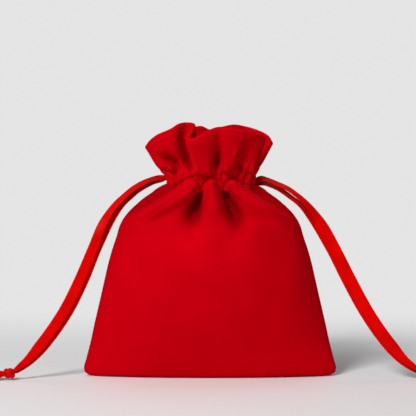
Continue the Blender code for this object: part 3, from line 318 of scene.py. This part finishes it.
class Panel:
    """One velvet panel. front is 1 for the panel that faces -Y and -1 for the other one."""

    def __init__(self, name, front, edge, rim, pleats, folds):
        self.name = name
        self.front = front
        self.line = np.asarray(edge) * SCALE[[0, 2]]
        self.rim = rim
        self.pleats = np.asarray(pleats)
        self.folds = folds
        self.lines = {}

    def meridians(self, cloth):
        """Fine lines up the sewn part, one for each share of the cloth's width, and how far up
        each line its points are."""
        neck = (NECK_HALF_DEPTH, CASING_BOTTOM)
        profile = np.vstack((np.asarray(PROFILE) * SCALE[1:], neck))
        run = np.concatenate(([0.0], np.cumsum(np.hypot(*np.diff(profile, axis=0).T))))
        knots = np.column_stack((run / run[-1], profile))
        fine = curve_through(knots, np.linspace(0, 1, 241))
        depth, height = fine[:, :1], fine[:, 1:].clip(0.0)
        level = height / SCALE[2] * MM
        even = 2 * cloth - 1
        bow = np.sin(even * math.pi / 2)
        near_neck = smooth_step(50 * MM, 75 * MM, level)
        across = (0.45 + 0.55 * near_neck) * bow + 0.55 * (1 - near_neck) * even
        sharpness = 0.62 - 0.12 * smooth_step(45 * MM, 75 * MM, level)
        sharpness -= 0.10 * (1 - smooth_step(2 * MM, 14 * MM, level))
        lens = (1 - across**2).clip(0.0) ** sharpness
        edge = self.edge(height)
        outline = np.vstack((np.asarray(OUTLINE) * SCALE[[2, 0]],
                             (CASING_BOTTOM, NECK_HALF_WIDTH)))
        x = curve_through(outline, height[:, 0]) * across
        y = edge + (depth - edge).clip(0.0) * lens
        z = height + CORNER_LIFT * across**8 * (1 - smooth_step(0.0, 16 * MM, level))
        line = np.stack((x, y, z), axis=-1)
        steps = np.linalg.norm(np.diff(line, axis=0), axis=-1)
        travel = np.concatenate((np.zeros((1, len(cloth))), np.cumsum(steps, axis=0)))
        return line, travel / travel[-1]

    def body(self, cloth, stage):
        """Place on the sewn part, without folds: across, depth, height."""
        key = cloth.tobytes()
        if key not in self.lines:
            self.lines[key] = self.meridians(cloth)
        line, travel = self.lines[key]
        share = stage.clip(0.0, 1.0)
        index = (travel < share).sum(axis=0).clip(1, len(travel) - 1)
        column = np.arange(len(cloth))
        start, end = travel[index - 1, column], travel[index, column]
        part = ((share - start) / (end - start).clip(1e-12))[:, None]
        return line[index - 1, column] * (1 - part) + line[index, column] * part

    @staticmethod
    def edge(height):
        """Half the space between the panels' side edges."""
        opened = smooth_step(CASING_BOTTOM - 2.6 * MM, CASING_BOTTOM + 0.6 * MM, height)
        return SEAM_GAP / 2 + opened * (SLIT - SEAM_GAP) / 2

    def casing(self, cloth, stage, inset=0.0):
        turn = (2 * cloth - 1) * math.pi / 2
        height = CASING_BOTTOM + (stage - 1) * (CASING_TOP - CASING_BOTTOM)
        edge = self.edge(height) if np.ndim(inset) == 0 else SLIT / 2
        x = (NECK_HALF_WIDTH - inset) * np.sin(turn)
        y = edge + (NECK_HALF_DEPTH - edge - inset) * np.cos(turn)
        return np.stack((x, y, height), axis=-1)

    def ruffle(self, cloth, stage):
        share = (stage - 2)[..., None]
        neck = self.casing(cloth, np.full(stage.shape, 2.0))
        rim = curve_through(np.asarray(self.rim) * (1.0, *SCALE), cloth)
        spread = np.concatenate((share**0.78, share**0.8, share), axis=-1)
        return neck + (rim - neck) * spread

    def plain(self, cloth, stage):
        """Place without folds: across, depth, height."""
        low, high = stage < 1, stage > 2
        place = self.casing(cloth, stage)
        if low.any():
            place[low] = self.body(cloth[low], stage[low])
        if high.any():
            place[high] = self.ruffle(cloth[high], stage[high])
        return place

    def base(self, cloth, stage):
        """The sides of the neck flare at once, and the shoulders come up to them."""
        place = self.plain(cloth, stage)
        side = np.abs(2 * cloth - 1) ** 3
        flare = np.where(cloth < 0.5, -FLARE[self.name][0], FLARE[self.name][1])
        spread = smooth_step(1.3, 2.15, stage) * (1 - smooth_step(2.2, 3.0, stage))
        place[..., 0] += flare * side * spread
        rise = smooth_step(0.90, 1.0, stage) * (1 - smooth_step(1.0, 1.8, stage))
        place[..., 2] += SHOULDER_RISE * rise * smooth_step(0.45, 0.85, np.abs(2 * cloth - 1))
        return place

    def pleat(self, cloth):
        """Height of the casing's pleats: sharp valleys and round backs."""
        index = np.clip(np.searchsorted(self.pleats, cloth, side="right") - 1, 0,
                        len(self.pleats) - 2)
        width = self.pleats[index + 1] - self.pleats[index]
        share = (cloth - self.pleats[index]) / width
        tall = np.minimum(PLEAT_DEPTH, width * 20 * MM)
        return tall * (0.5 - 0.5 * np.cos(2 * math.pi * share)) ** 0.85

    def gathered(self, stage):
        return smooth_step(0.88, 1.08, stage) * (1 - smooth_step(2.0, 2.45, stage))

    def wandering(self, cloth, stage):
        """The pleats, none of them straight or as high as the next."""
        turn = np.sin(13 * cloth + 0.6) + 0.6 * np.sin(29 * cloth + 2.0)
        shifted = (cloth + 0.016 * turn * (stage - 1.5).clip(-0.7, 0.9)).clip(0.0, 1.0)
        tall = 0.82 + 0.26 * np.sin(17 * cloth + 2.6 * stage)
        ends = smooth_step(0.0, 0.04, cloth) * smooth_step(0.0, 0.04, 1 - cloth)
        return self.pleat(shifted) * tall * ends

    def inside(self, across, height):
        """Distance below the upper edge of the body's front, negative above it."""
        gap = np.full(across.shape, np.inf)
        for start, end in zip(self.line[:-1], self.line[1:]):
            run = end - start
            east, north = across - start[0], height - start[1]
            share = np.clip((east * run[0] + north * run[1]) / (run @ run), 0.0, 1.0)
            gap = np.minimum(gap, np.hypot(east - share * run[0], north - share * run[1]))
        level = np.interp(across, self.line[:, 0], self.line[:, 1])
        return np.where(height < level, gap, -gap)

    @staticmethod
    def lip(depth):
        """Share of the front's height: round along the edge and nothing above it."""
        return (1 - (1 - depth / LIP_ROUND).clip(0.0, 1.0) ** 2) ** 0.5

    def lift(self, across, stage, height, cloth, velvet):
        """Rise of all folds together. On the casing only the pile side gives way a little."""
        thickness = CLOTH + (2 * FOLD_RADIUS - CLOTH) * smooth_step(2.0, 2.3, stage)
        behind = thickness * (1 - velvet)
        rise = sum(stroke(points, across, height, behind) for points in self.folds.values())
        clear = 1 - smooth_step(0.965, 0.992, stage) + smooth_step(2.0, 2.15, stage)
        dent = np.maximum(rise, -DENT * velvet) * (1 - clear)
        rise = np.where(rise < 0, rise * clear + dent, rise)
        return rise * smooth_step(0.0, 0.11, cloth) * smooth_step(0.0, 0.11, 1 - cloth)

    def surface(self, cloth, stage, velvet):
        """Place on the outer layer: velvet is 1 for its pile side and 0 behind the pleats."""
        place = self.base(cloth, stage)
        side = self.base(np.clip(cloth + NUDGE, 0, 1), stage)
        side -= self.base(np.clip(cloth - NUDGE, 0, 1), stage)
        along = side[..., :2] / np.linalg.norm(side[..., :2], axis=-1, keepdims=True).clip(1e-12)
        outward = np.stack((-along[..., 1], along[..., 0]), axis=-1)
        across, height = place[..., 0].copy(), place[..., 2].copy()
        rise = self.lift(across, stage, height, cloth, velvet)
        level = height / SCALE[2] * MM
        neck = smooth_step(62 * MM, 70 * MM, level) * (1 - smooth_step(80 * MM, 81 * MM, level))
        depth = self.inside(across, height) - BEHIND * (1 - velvet)
        lip = self.lip(depth)
        rise = np.where(rise > 0, rise * (1 - neck * (1 - lip)), rise) + LIP * lip * neck
        pleats = self.wandering(cloth, stage) * self.gathered(stage)
        pleats = pleats * (1 - lip * (stage < 2)) * velvet
        groove = np.exp(-((depth + GROOVE_OFFSET) / GROOVE_WIDTH) ** 2)
        groove = groove * (stage > 1) * (stage < 2) * velvet
        pleats = pleats * (1 - 0.7 * groove)
        rise = rise - DENT * groove
        place[..., :2] += outward * pleats[..., None]
        room = 0.62 * (place[..., 1] - SEAM_GAP / 2).clip(1e-6)
        place[..., 1] += np.where(rise < 0, room * np.tanh(rise / room), rise)
        beside = smooth_step(13.0 * MM, 21.0 * MM, np.abs(across) / SCALE[0] * MM)
        pushed = SHOULDER_TUCK * (1 - lip) * smooth_step(61.5 * MM, 66.0 * MM, level) * beside
        pushed *= 1 - smooth_step(0.96, 1.0, stage)
        place[..., 1] -= pushed * (place[..., 1] - 2.2 * CLOTH).clip(0.0)
        return place

    def tone(self, cloth, stage, place):
        """Painted light and shade of the velvet: EVEN_TONE in general, a painted highlight along
        an edge, painted shade in the shelter behind one and in the hollows of the folds."""
        level = place[:, 2] / SCALE[2] * MM
        depth = self.inside(place[:, 0], place[:, 2])
        neck = smooth_step(61 * MM, 66 * MM, level) * (stage < 1.9)
        # Painted highlight along the front's upper edge at the neck
        painted_tone = EVEN_TONE + 0.28 * neck * np.exp(-((depth - 0.5 * MM) / (0.45 * MM)) ** 2)
        # Painted shade behind that edge, over the casing and the gussets
        painted_shade_behind_edge = smooth_step(0.0, 1.2 * MM, -depth) * neck * (stage < 1.0)
        # Painted highlight near the rim's fold and along the ruffle's side edges
        rim_highlight = np.exp(-((stage - 2.93) / 0.03) ** 2) * (stage > 2.5)
        ends = np.minimum(cloth, 1 - cloth)
        side = np.exp(-((ends - 0.014) / 0.008) ** 2) * (stage > 2.0)
        flat = self.base(cloth, stage)
        rise = self.lift(flat[:, 0], stage, flat[:, 2], cloth, 1.0)
        # Painted shade in the hollows of the folds
        hollow = smooth_step(0.8 * MM, 6.0 * MM, -rise)
        # Painted highlights and one faint painted shade as spots on the front
        for across, height, radius, share in (PAINTED_LIGHT_SPOTS if self.front > 0 else ()):
            away = np.hypot(place[:, 0] - across * SCALE[0], place[:, 2] - height * SCALE[2])
            painted_tone += share * np.exp(-(away / (radius * MM)) ** 2)
        # Painted highlight line along the middle lobe's edge
        if self.front > 0:
            painted_tone += stroke(LOBE_EDGE_HIGHLIGHT, flat[:, 0], flat[:, 2], 0.0) / MM
        # Painted shade behind the edge, in the hollows and over the whole ruffle; painted
        # highlight along the rim and the ruffle's sides
        return (painted_tone - 0.32 * painted_shade_behind_edge - 0.44 * hollow - 0.06 * (stage > 2.1)
                + 0.16 * np.maximum(rim_highlight, side))

    def frame(self, cloth, stage):
        """Outward and upward directions behind the pleats."""
        step = 2e-3
        across = self.surface(np.clip(cloth + step, 0, 1), stage, 0.0)
        across -= self.surface(np.clip(cloth - step, 0, 1), stage, 0.0)
        along = self.surface(cloth, np.clip(stage + step, 0, 3), 0.0)
        along -= self.surface(cloth, np.clip(stage - step, 0, 3), 0.0)
        out = np.cross(along, across)
        out /= np.linalg.norm(out, axis=-1, keepdims=True).clip(1e-15)
        return out, along / np.linalg.norm(along, axis=-1, keepdims=True).clip(1e-15)

    def outer(self, cloth, stage):
        """Places on the velvet side and the lining side of the outer layer."""
        out, _ = self.frame(cloth, stage)
        return self.surface(cloth, stage, 1.0), self.surface(cloth, stage, 0.0) - out * CLOTH

    def facing(self, cloth, stage):
        """Places on both sides of the folded layer, which lies against the outer one in the
        ruffle and stands off from it in the casing."""
        out, _ = self.frame(cloth, stage.clip(2.0))
        behind = self.surface(cloth, stage.clip(2.0), 0.0)
        inward = self.pleat(cloth) * self.gathered(stage.clip(1.05)) * FACING_PLEATS
        share = smooth_step(2.0, 2.24, stage)[..., None]
        sides = []
        for depth in (CLOTH + inward, 0.0 * inward):
            close = behind - out * (2 * FOLD_RADIUS - CLOTH + depth)[..., None]
            apart = self.casing(cloth, stage, TUNNEL - CLOTH + depth)
            sides.append(apart + (close - apart) * share)
        return sides

    def fold(self, cloth, angle):
        """Places on both sides of the round fold along the rim, from outside to inside."""
        stage = np.full(cloth.shape, 3.0)
        out, along = self.frame(cloth, stage)
        middle = self.surface(cloth, stage, 0.0) - out * FOLD_RADIUS
        spoke = out * math.cos(angle) + along * math.sin(angle)
        return middle + FOLD_RADIUS * spoke, middle + (FOLD_RADIUS - CLOTH) * spoke


def smooth_route(points, count):
    """Points on a smooth curve through the given ones."""
    points = np.asarray(points, float)
    run = np.concatenate(([0.0], np.cumsum(np.linalg.norm(np.diff(points, axis=0), axis=1))))
    knots = np.column_stack((run, points))
    return curve_through(knots, np.linspace(0.0, run[-1], count))


def rope_route(side, height):
    """Once round the neck inside the casing, in and out at the slit on one side."""
    wide = NECK_HALF_WIDTH - ROPE_INSET
    deep = NECK_HALF_DEPTH - ROPE_INSET - SLIT / 2 - 0.1 * MM
    half = [(EXIT_REACH, ROPE_EXIT), (wide + 0.8 * MM, ROPE_EXIT),
            (wide + 0.2 * MM, ROPE_EXIT * 1.3)]
    for step in range(1, 18):
        turn = math.radians(90 - 10 * step)
        half.append((wide * math.sin(turn), SLIT / 2 + deep * math.cos(turn)))
    front = [(side * x, -y, height) for x, y in half]
    return front + [(x, -y, z) for x, y, z in front[::-1]]


def knot_place(knot, direction=(0.0, 0.0, 0.0)):
    """A knot's middle, or the place a little off its surface in a direction from there."""
    reach = 1.08 * KNOT_RADIUS + 1.5 * CLEARANCE
    middle = np.array((knot[0] * SCALE[0], knot[1] * SCALE[1], KNOT_RADIUS + 0.1 * MM))
    return middle + reach * np.asarray(direction)


def strand_route(side, which, points, knot, level):
    """From the slit over the shoulder and down to the knot."""
    depth = -ROPE_EXIT if which == "front" else ROPE_EXIT
    slit = [(EXIT_REACH + CLEARANCE + run, depth, level) for run in (0.1 * MM, 1.2 * MM)]
    route = np.vstack((slit, np.asarray(points) * SCALE, knot_place(knot, STRAND_ENTRIES[which])))
    return smooth_route(route * (side, 1, 1), STRAND_POINTS)


def strand_shape(side, route):
    """Tilt and share of the full width at each point: upright and bunched up in the slit, seen on
    edge where the ribbon arches over, then turning its face outward, and bunched at the knot."""
    near_slit = 1 - smooth_step(EXIT_REACH, EXIT_REACH + 7 * MM, abs(route[:, 0]))
    near_knot = 1 - smooth_step(3 * MM, 14 * MM, route[:, 2])
    turned = smooth_step(50 * MM, 70 * MM, route[:, 2])
    tilts = -side * np.radians(12 + 46 * turned) * (1 - near_slit)
    return tilts, 1 - 0.5 * near_knot - 0.4 * near_slit


def new_material(name):
    made = bpy.data.materials.new(name)
    made.use_nodes = True
    nodes, links = made.node_tree.nodes, made.node_tree.links
    return made, nodes, links, nodes["Principled BSDF"]


def noise(nodes, links, where, scale, detail=2.0):
    made = nodes.new("ShaderNodeTexNoise")
    made.inputs["Scale"].default_value = scale
    made.inputs["Detail"].default_value = detail
    links.new(where.outputs["Object"], made.inputs["Vector"])
    return made.outputs["Fac"]


def roughened(nodes, links, source, shader, strength, distance):
    """Fine grain in the bump."""
    bump = nodes.new("ShaderNodeBump")
    bump.inputs["Strength"].default_value = strength
    bump.inputs["Distance"].default_value = distance
    links.new(source, bump.inputs["Height"])
    links.new(bump.outputs["Normal"], shader.inputs["Normal"])


def mottled_with_painted_light(nodes, links, source, shader, *ends):
    """A colour between two, each with its place on the ramp. It is lighter or darker by the
    painted
    light and shade in the attribute pile: EVEN_TONE leaves it as it is."""
    tone = nodes.new("ShaderNodeValToRGB")
    for element, (position, colour) in zip(tone.color_ramp.elements, ends):
        element.position = position
        element.color = (*colour, 1.0)
    links.new(source, tone.inputs["Fac"])
    painted_light_attribute = nodes.new("ShaderNodeAttribute")
    painted_light_attribute.attribute_name = "pile"
    lit = nodes.new("ShaderNodeMath")
    lit.operation = "ADD"
    lit.inputs[1].default_value = 1.0 - EVEN_TONE
    links.new(painted_light_attribute.outputs["Fac"], lit.inputs[0])
    shade = nodes.new("ShaderNodeVectorMath")
    shade.operation = "SCALE"
    links.new(tone.outputs["Color"], shade.inputs[0])
    links.new(lit.outputs["Value"], shade.inputs["Scale"])
    links.new(shade.outputs["Vector"], shader.inputs["Base Color"])


def velvet_material():
    """Short pile: fine grain, and soft patches where it lies differently."""
    made, nodes, links, shader = new_material("velvet")
    where = nodes.new("ShaderNodeTexCoord")
    roughened(nodes, links, noise(nodes, links, where, 5200.0), shader, 0.25, 0.12 * MM)
    mottled_with_painted_light(nodes, links, noise(nodes, links, where, 70.0, 3.0), shader,
          (0.3, (0.47, 0.0, 0.004)), (0.7, (0.52, 0.0, 0.005)))
    shader.inputs["Roughness"].default_value = 0.95
    shader.inputs["Specular IOR Level"].default_value = 0.0
    shader.inputs["Sheen Weight"].default_value = 0.2
    shader.inputs["Sheen Roughness"].default_value = 0.35
    shader.inputs["Sheen Tint"].default_value = (1.0, 0.03, 0.06, 1.0)
    return made


def satin_material():
    """Fine weave, in lighter and darker bands."""
    made, nodes, links, shader = new_material("satin")
    where = nodes.new("ShaderNodeTexCoord")
    roughened(nodes, links, noise(nodes, links, where, 3000.0), shader, 0.15, 0.05 * MM)
    mottled_with_painted_light(nodes, links, noise(nodes, links, where, 95.0), shader,
          (0.35, (0.52, 0.0, 0.0)), (0.65, (0.72, 0.0, 0.0)))
    shader.inputs["Roughness"].default_value = 0.4
    shader.inputs["Specular IOR Level"].default_value = 0.16
    shader.inputs["Specular Tint"].default_value = (1.0, 0.2, 0.15, 1.0)
    return made


VELVET = velvet_material()
SATIN = satin_material()


def new_object(name, mesh, made):
    mesh.materials.append(made)
    item = bpy.data.objects.new(name, mesh)
    bpy.context.scene.collection.objects.link(item)
    return item


def spaced(low, high, step):
    """Rows from low to high, about one step apart."""
    count = max(1, round(abs(high - low) / step))
    return [low + (high - low) * i / count for i in range(count)] + [high]


def fine_columns(pleats):
    columns = [pleats[0]]
    for start, end in zip(pleats[:-1], pleats[1:]):
        columns += [start + (end - start) * (i + 1) / PER_PLEAT for i in range(PER_PLEAT)]
    return np.asarray(columns)


# The attribute pile carries painted light and shade
def set_painted_light(mesh, values):
    layer = mesh.attributes.new("pile", "FLOAT", "POINT")
    layer.data.foreach_set("value", values)


def velvet_panel(name, panel):
    """Rows of the outer layer, around the rim and down the facing, on both sides of the cloth.
    Along the seam the lining side steps straight in from the seam line."""
    columns = fine_columns(panel.pleats)
    outer_rows = sum((spaced(*run)[:-1] for run in OUTER_ROWS), []) + [OUTER_ROWS[-1][1]]
    facing_rows = spaced(2.97, 2.0, 0.04) + spaced(1.9, FACING_END, 0.1)
    rows = [panel.outer(columns, np.full(columns.shape, stage)) for stage in outer_rows]
    # Painted light and shade of the outer rows
    pile = [panel.tone(columns, np.full(columns.shape, stage), sides[0])
            for stage, sides in zip(outer_rows, rows)]
    angles = range(FOLD_STEP, 181, FOLD_STEP)
    rows += [panel.fold(columns, math.radians(angle)) for angle in angles]
    rows += [panel.facing(columns, np.full(columns.shape, stage)) for stage in facing_rows]
    velvet, lining = map(list, zip(*rows))
    sewn = sum(stage < SEWN for stage in outer_rows)
    ends = [(row, 0) for row in range(sewn, 0, -1)] + [(0, i) for i in range(len(columns))]
    ends += [(row, -1) for row in range(1, sewn + 1)]
    line = np.asarray([velvet[row][column] for row, column in ends])
    along = np.gradient(line, axis=0)
    inward = np.stack((-along[:, 2], 0.0 * along[:, 1], along[:, 0]), axis=1)
    inward /= np.linalg.norm(inward, axis=1, keepdims=True)
    for (row, column), place, step in zip(ends, line, inward):
        lining[row][column] = place + step * CLOTH
    width, tall = len(columns), len(velvet)
    places = np.concatenate(velvet + lining)
    places[:, 1] = -panel.front * places[:, 1].clip(SEAM_GAP / 2)
    grid = np.arange(width * tall).reshape(tall, width)
    quads = np.stack((grid[:-1, :-1], grid[:-1, 1:], grid[1:, 1:], grid[1:, :-1]), -1)
    quads = quads.reshape(-1, 4)
    around = np.concatenate((grid[0], grid[1:, -1], grid[-1, -2::-1], grid[-2:0:-1, 0]))
    after = np.roll(around, -1)
    edges = np.stack((around, after, after + width * tall, around + width * tall), -1)
    backs = quads[:, ::-1] + width * tall
    if panel.front < 0:
        quads, backs = quads[:, ::-1], backs[:, ::-1]
    else:
        edges = edges[:, ::-1]
    faces = np.concatenate((quads, backs, edges)).tolist()
    mesh = bpy.data.meshes.new(name)
    mesh.from_pydata(places.tolist(), [], faces)
    mesh.shade_smooth()
    # Painted highlight over the rim for the rest, then the outer rows' painted light and shade
    painted_tones = np.full(len(places), FOLD_HIGHLIGHT)
    painted_tones[:len(pile) * width] = np.concatenate(pile)
    set_painted_light(mesh, painted_tones)
    return new_object(name, mesh, VELVET)


def unit(vectors):
    return vectors / np.linalg.norm(vectors, axis=-1, keepdims=True)


def turned(route, tilts):
    """Direction of a band's width at each point: upright at tilt 0."""
    along = unit(np.gradient(np.asarray(route, float), axis=0))
    face = unit(np.cross(along, (0.0, 0.0, 1.0)))
    turn = np.asarray(tilts)[:, None]
    return np.cross(face, along) * np.cos(turn) + face * np.sin(turn)


def band(route, wide, widths, thickness, bow=0.0):
    """Places and faces of a closed flat band with rounded, slightly thicker edges. bow bends its
    edges away from its outer face."""
    route = np.asarray(route, float)
    along = unit(np.gradient(route, axis=0))
    thin = unit(np.cross(wide, along))
    shares = np.linspace(-1, 1, 13)
    half = thickness * (0.42 + 0.08 * np.abs(shares) ** 6)
    half = half * np.sqrt(1 - 0.96 * np.abs(shares) ** 12)
    outline = list(zip(shares, half)) + list(zip(shares[::-1], -half[::-1]))
    spread = np.asarray(widths)[:, None] / 2
    places = np.concatenate([route + wide * (s * spread) + thin * (h + bow * s * s)
                             for s, h in outline])
    count, sides = len(route), len(outline)
    faces = []
    for side in range(sides):
        low, high = side * count, (side + 1) % sides * count
        faces += [(low + i, low + i + 1, high + i + 1, high + i) for i in range(count - 1)]
    faces.append(tuple(side * count for side in range(sides)))
    faces.append(tuple(side * count + count - 1 for side in reversed(range(sides))))
    return places, faces


def satin_piece(name, node, *bands):
    """One object made of bands, in place of a node of the frame."""
    places, faces = [], []
    for some, more in bands:
        faces += [tuple(index + len(places) for index in face) for face in more]
        places += some.tolist()
    mesh = bpy.data.meshes.new(name)
    mesh.from_pydata(places, [], faces)
    mesh.shade_smooth()
    reach = np.abs(np.asarray(places)[:, 0])
    # Painted shade: the ribbons darker near the neck
    set_painted_light(mesh, EVEN_TONE - SATIN_PAINTED_SHADE * (1 - smooth_step(20 * MM, 36 * MM, reach)))
    item = new_object(name, mesh, SATIN)
    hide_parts(node)
    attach(item, "root")
    return item


def knot_middle(side, knot):
    return knot_place(knot) * (side, 1, 1)


def strand(name, side, which, points, knot, level):
    """One free ribbon end. It is creased narrower over the shoulder and bunched at the knot."""
    route = strand_route(side, which, points, knot, level)
    middle = knot_middle(side, knot)
    inner = middle + 0.3 * (route[-1] - middle)
    reach = np.linspace(0, 1, 9)[1:, None]
    route = np.vstack((route, route[-1] + (inner - route[-1]) * reach))
    tilts, scales = strand_shape(side, route)
    creased = 0.76 + 0.24 * smooth_step(32 * MM, 52 * MM, np.abs(route[:, 0]))
    gap = np.linalg.norm(route - middle, axis=1)
    bunched = 0.58 + 0.42 * smooth_step(1.5 * MM, 6 * MM, gap)
    item = satin_piece(name + "_ribbon", name, band(
        route, turned(route, tilts), RIBBON_WIDTH * scales * creased * bunched, RIBBON))
    length = float(np.linalg.norm(np.diff(route, axis=0), axis=1).sum())
    return item, route, length


def tail(name, side, knot, points):
    """A ribbon end that leaves the knot standing on its edge and lies down towards its cut."""
    middle = knot_middle(side, knot) * (1, 1, 0)
    route = smooth_route(middle + np.asarray(points) * MM * (side, 1, 1), 48)
    share = np.linspace(0, 1, len(route))
    tilts = -side * np.radians(14 + 58 * share)
    widths = RIBBON_WIDTH * (0.5 + 0.45 * smooth_step(0.05, 0.5, share))
    lowest = 0.5 * widths * np.cos(tilts) + 0.3 * MM
    route[:, 2] = np.maximum(route[:, 2], lowest)
    return satin_piece(name + "_ribbon", name, band(route, turned(route, tilts), widths, RIBBON))


def knot_turn(middle, axis, start, turns, radius, width):
    """One turn of ribbon laid around a knot, its ends tucked under."""
    axis = unit(np.asarray(axis, float))
    east = unit(np.cross(axis, (0.0, 1.0, 0.2)))
    north = np.cross(axis, east)
    share = np.linspace(0, 1, 56)[:, None]
    angle = start + 2 * math.pi * turns * share
    tucked = 1 - 0.45 * (1 - smooth_step(0.0, 0.14, share)) - 0.45 * smooth_step(0.86, 1.0, share)
    outward = east * np.cos(angle) + north * np.sin(angle)
    route = middle + outward * radius * tucked * (1 + 0.05 * share)
    route = route + axis * (share - 0.5) * 0.9 * MM
    wide = np.tile(axis, (len(route), 1))
    widths = width * (0.8 + 0.2 * np.sin(math.pi * share[:, 0]))
    return band(route, wide, widths, RIBBON, bow=0.36 * MM)


def knot_turns(name, side, knot):
    """The knot: three turns of ribbon over one another, pulled tight."""
    middle = knot_middle(side, knot)
    heart = [middle + np.asarray((side * x, 0.0, z)) * MM
             for x, z in zip(np.linspace(-1.9, 1.9, 20), 0.25 * np.sin(np.linspace(0, 3, 20)))]
    swell = 3.4 * MM * np.sin(np.linspace(0.35, math.pi - 0.35, 20))
    return satin_piece(
        name + "_turns", name,
        band(heart, turned(heart, np.zeros(20)), swell, 3.2 * MM),
        knot_turn(middle, (side * 0.85, 0.15, 0.45), 0.6, 1.12, 1.95 * MM, 2.5 * MM),
        knot_turn(middle, (side * -0.35, 0.10, 0.90), 2.2, 1.08, 2.2 * MM, 2.2 * MM),
        knot_turn(middle, (side * 0.70, -0.20, -0.62), 4.0, 1.02, 2.3 * MM, 2.0 * MM))


def build():
    front = velvet_panel("front_panel_velvet", Panel(
        "front", 1, FRONT_EDGE, FRONT_RIM, FRONT_PLEATS, FRONT_FOLDS))
    back = velvet_panel("back_panel_velvet", Panel(
        "back", -1, BACK_EDGE, BACK_RIM, BACK_PLEATS, BACK_FOLDS))
    for item, node in ((front, "front_panel"), (back, "back_panel")):
        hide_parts(node)
        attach(item, "root")
    for side, name, knot, level, front_points, back_points in (
            (-1, "left", LEFT_KNOT, EXIT_HEIGHT + LEVEL, LEFT_FRONT_STRAND, LEFT_BACK_STRAND),
            (1, "right", RIGHT_KNOT, EXIT_HEIGHT - LEVEL, RIGHT_FRONT_STRAND, RIGHT_BACK_STRAND)):
        loop = np.asarray(rope_route(side, level))
        satin_piece(name + "_drawstring_ribbon", name + "_drawstring", band(
            loop, turned(loop, np.zeros(len(loop))), np.full(len(loop), ROPE_HEIGHT), ROPE))
        turns = knot_turns(name + "_knot", side, knot)
        tails = {"front": tail(name + "_front_tail", side, knot, FRONT_TAIL),
                 "back": tail(name + "_back_tail", side, knot, BACK_TAIL)}
        for which, points in (("front", front_points), ("back", back_points)):
            item, route, length = strand(f"{name}_{which}_strand", side, which, points, knot,
                                         level)


# Area lights: power, size and place in metres
LIGHTS = (
    ("key", 13.6, 0.40, (-0.52, -0.86, 0.80)),
    ("fill", 0.8, 0.5, (0.8, -0.9, 0.3)),
    ("top", 1.0, 0.5, (0.1, 0.3, 1.0)),
)
LIGHT_AIM = (0, 0, 0.05)
CAMERA_TARGET = (-0.0008, 0.0, 0.0670)
CAMERA_DISTANCE = 0.691
CAMERA_TILT = math.radians(3.5)
FLOOR_FADE = (0.02, 0.22)    # from where to where the floor fades into the background


def stage_and_light():
    world = bpy.data.worlds.new("room")
    bpy.context.scene.world = world
    world.use_nodes = True
    nodes, links = world.node_tree.nodes, world.node_tree.links
    surround = nodes["Background"]
    surround.inputs["Color"].default_value = (1.0, 0.99, 0.985, 1.0)
    surround.inputs["Strength"].default_value = 0.17
    shown = nodes.new("ShaderNodeBackground")
    shown.inputs["Color"].default_value = (0.78, 0.78, 0.78, 1.0)
    shown.inputs["Strength"].default_value = 1.0
    path = nodes.new("ShaderNodeLightPath")
    mixed = nodes.new("ShaderNodeMixShader")
    links.new(path.outputs["Is Camera Ray"], mixed.inputs[0])
    links.new(surround.outputs[0], mixed.inputs[1])
    links.new(shown.outputs[0], mixed.inputs[2])
    links.new(mixed.outputs[0], nodes["World Output"].inputs["Surface"])

    plane = bpy.data.meshes.new("floor")
    plane.from_pydata([(-2, -1.5, 0), (2, -1.5, 0), (2, 2.5, 0), (-2, 2.5, 0)], [], [(0, 1, 2, 3)])
    made, nodes, links, shader = new_material("pale_floor")
    shader.inputs["Base Color"].default_value = (0.96, 0.96, 0.97, 1.0)
    shader.inputs["Roughness"].default_value = 0.5
    where = nodes.new("ShaderNodeTexCoord")
    split = nodes.new("ShaderNodeSeparateXYZ")
    fade = nodes.new("ShaderNodeMapRange")
    fade.interpolation_type = "SMOOTHSTEP"
    fade.inputs["From Min"].default_value, fade.inputs["From Max"].default_value = FLOOR_FADE
    clear = nodes.new("ShaderNodeBsdfTransparent")
    blend = nodes.new("ShaderNodeMixShader")
    links.new(where.outputs["Object"], split.inputs[0])
    links.new(split.outputs["Y"], fade.inputs["Value"])
    links.new(fade.outputs["Result"], blend.inputs[0])
    links.new(shader.outputs[0], blend.inputs[1])
    links.new(clear.outputs[0], blend.inputs[2])
    links.new(blend.outputs[0], nodes["Material Output"].inputs["Surface"])
    floor = new_object("floor", plane, made)
    floor.location.z = -0.0002

    for name, energy, size, place in LIGHTS:
        data = bpy.data.lights.new(name, "AREA")
        data.energy = energy
        data.size = size
        lamp = bpy.data.objects.new(name, data)
        bpy.context.scene.collection.objects.link(lamp)
        lamp.location = place
        away = np.asarray(place) - np.asarray(LIGHT_AIM)
        lamp.rotation_euler = (math.atan2(math.hypot(away[0], away[1]), away[2]), 0,
                               math.atan2(away[1], away[0]) + math.pi / 2)

    data = bpy.data.cameras.new("camera")
    data.lens = 150
    data.sensor_width = 36
    camera = bpy.data.objects.new("camera", data)
    bpy.context.scene.collection.objects.link(camera)
    bpy.context.scene.camera = camera
    away = np.asarray((0, -math.cos(CAMERA_TILT), math.sin(CAMERA_TILT)))
    camera.location = np.asarray(CAMERA_TARGET) + CAMERA_DISTANCE * away
    camera.rotation_euler = (math.pi / 2 - CAMERA_TILT, 0, 0)
    bpy.context.scene.view_settings.view_transform = "Standard"


build()
stage_and_light()
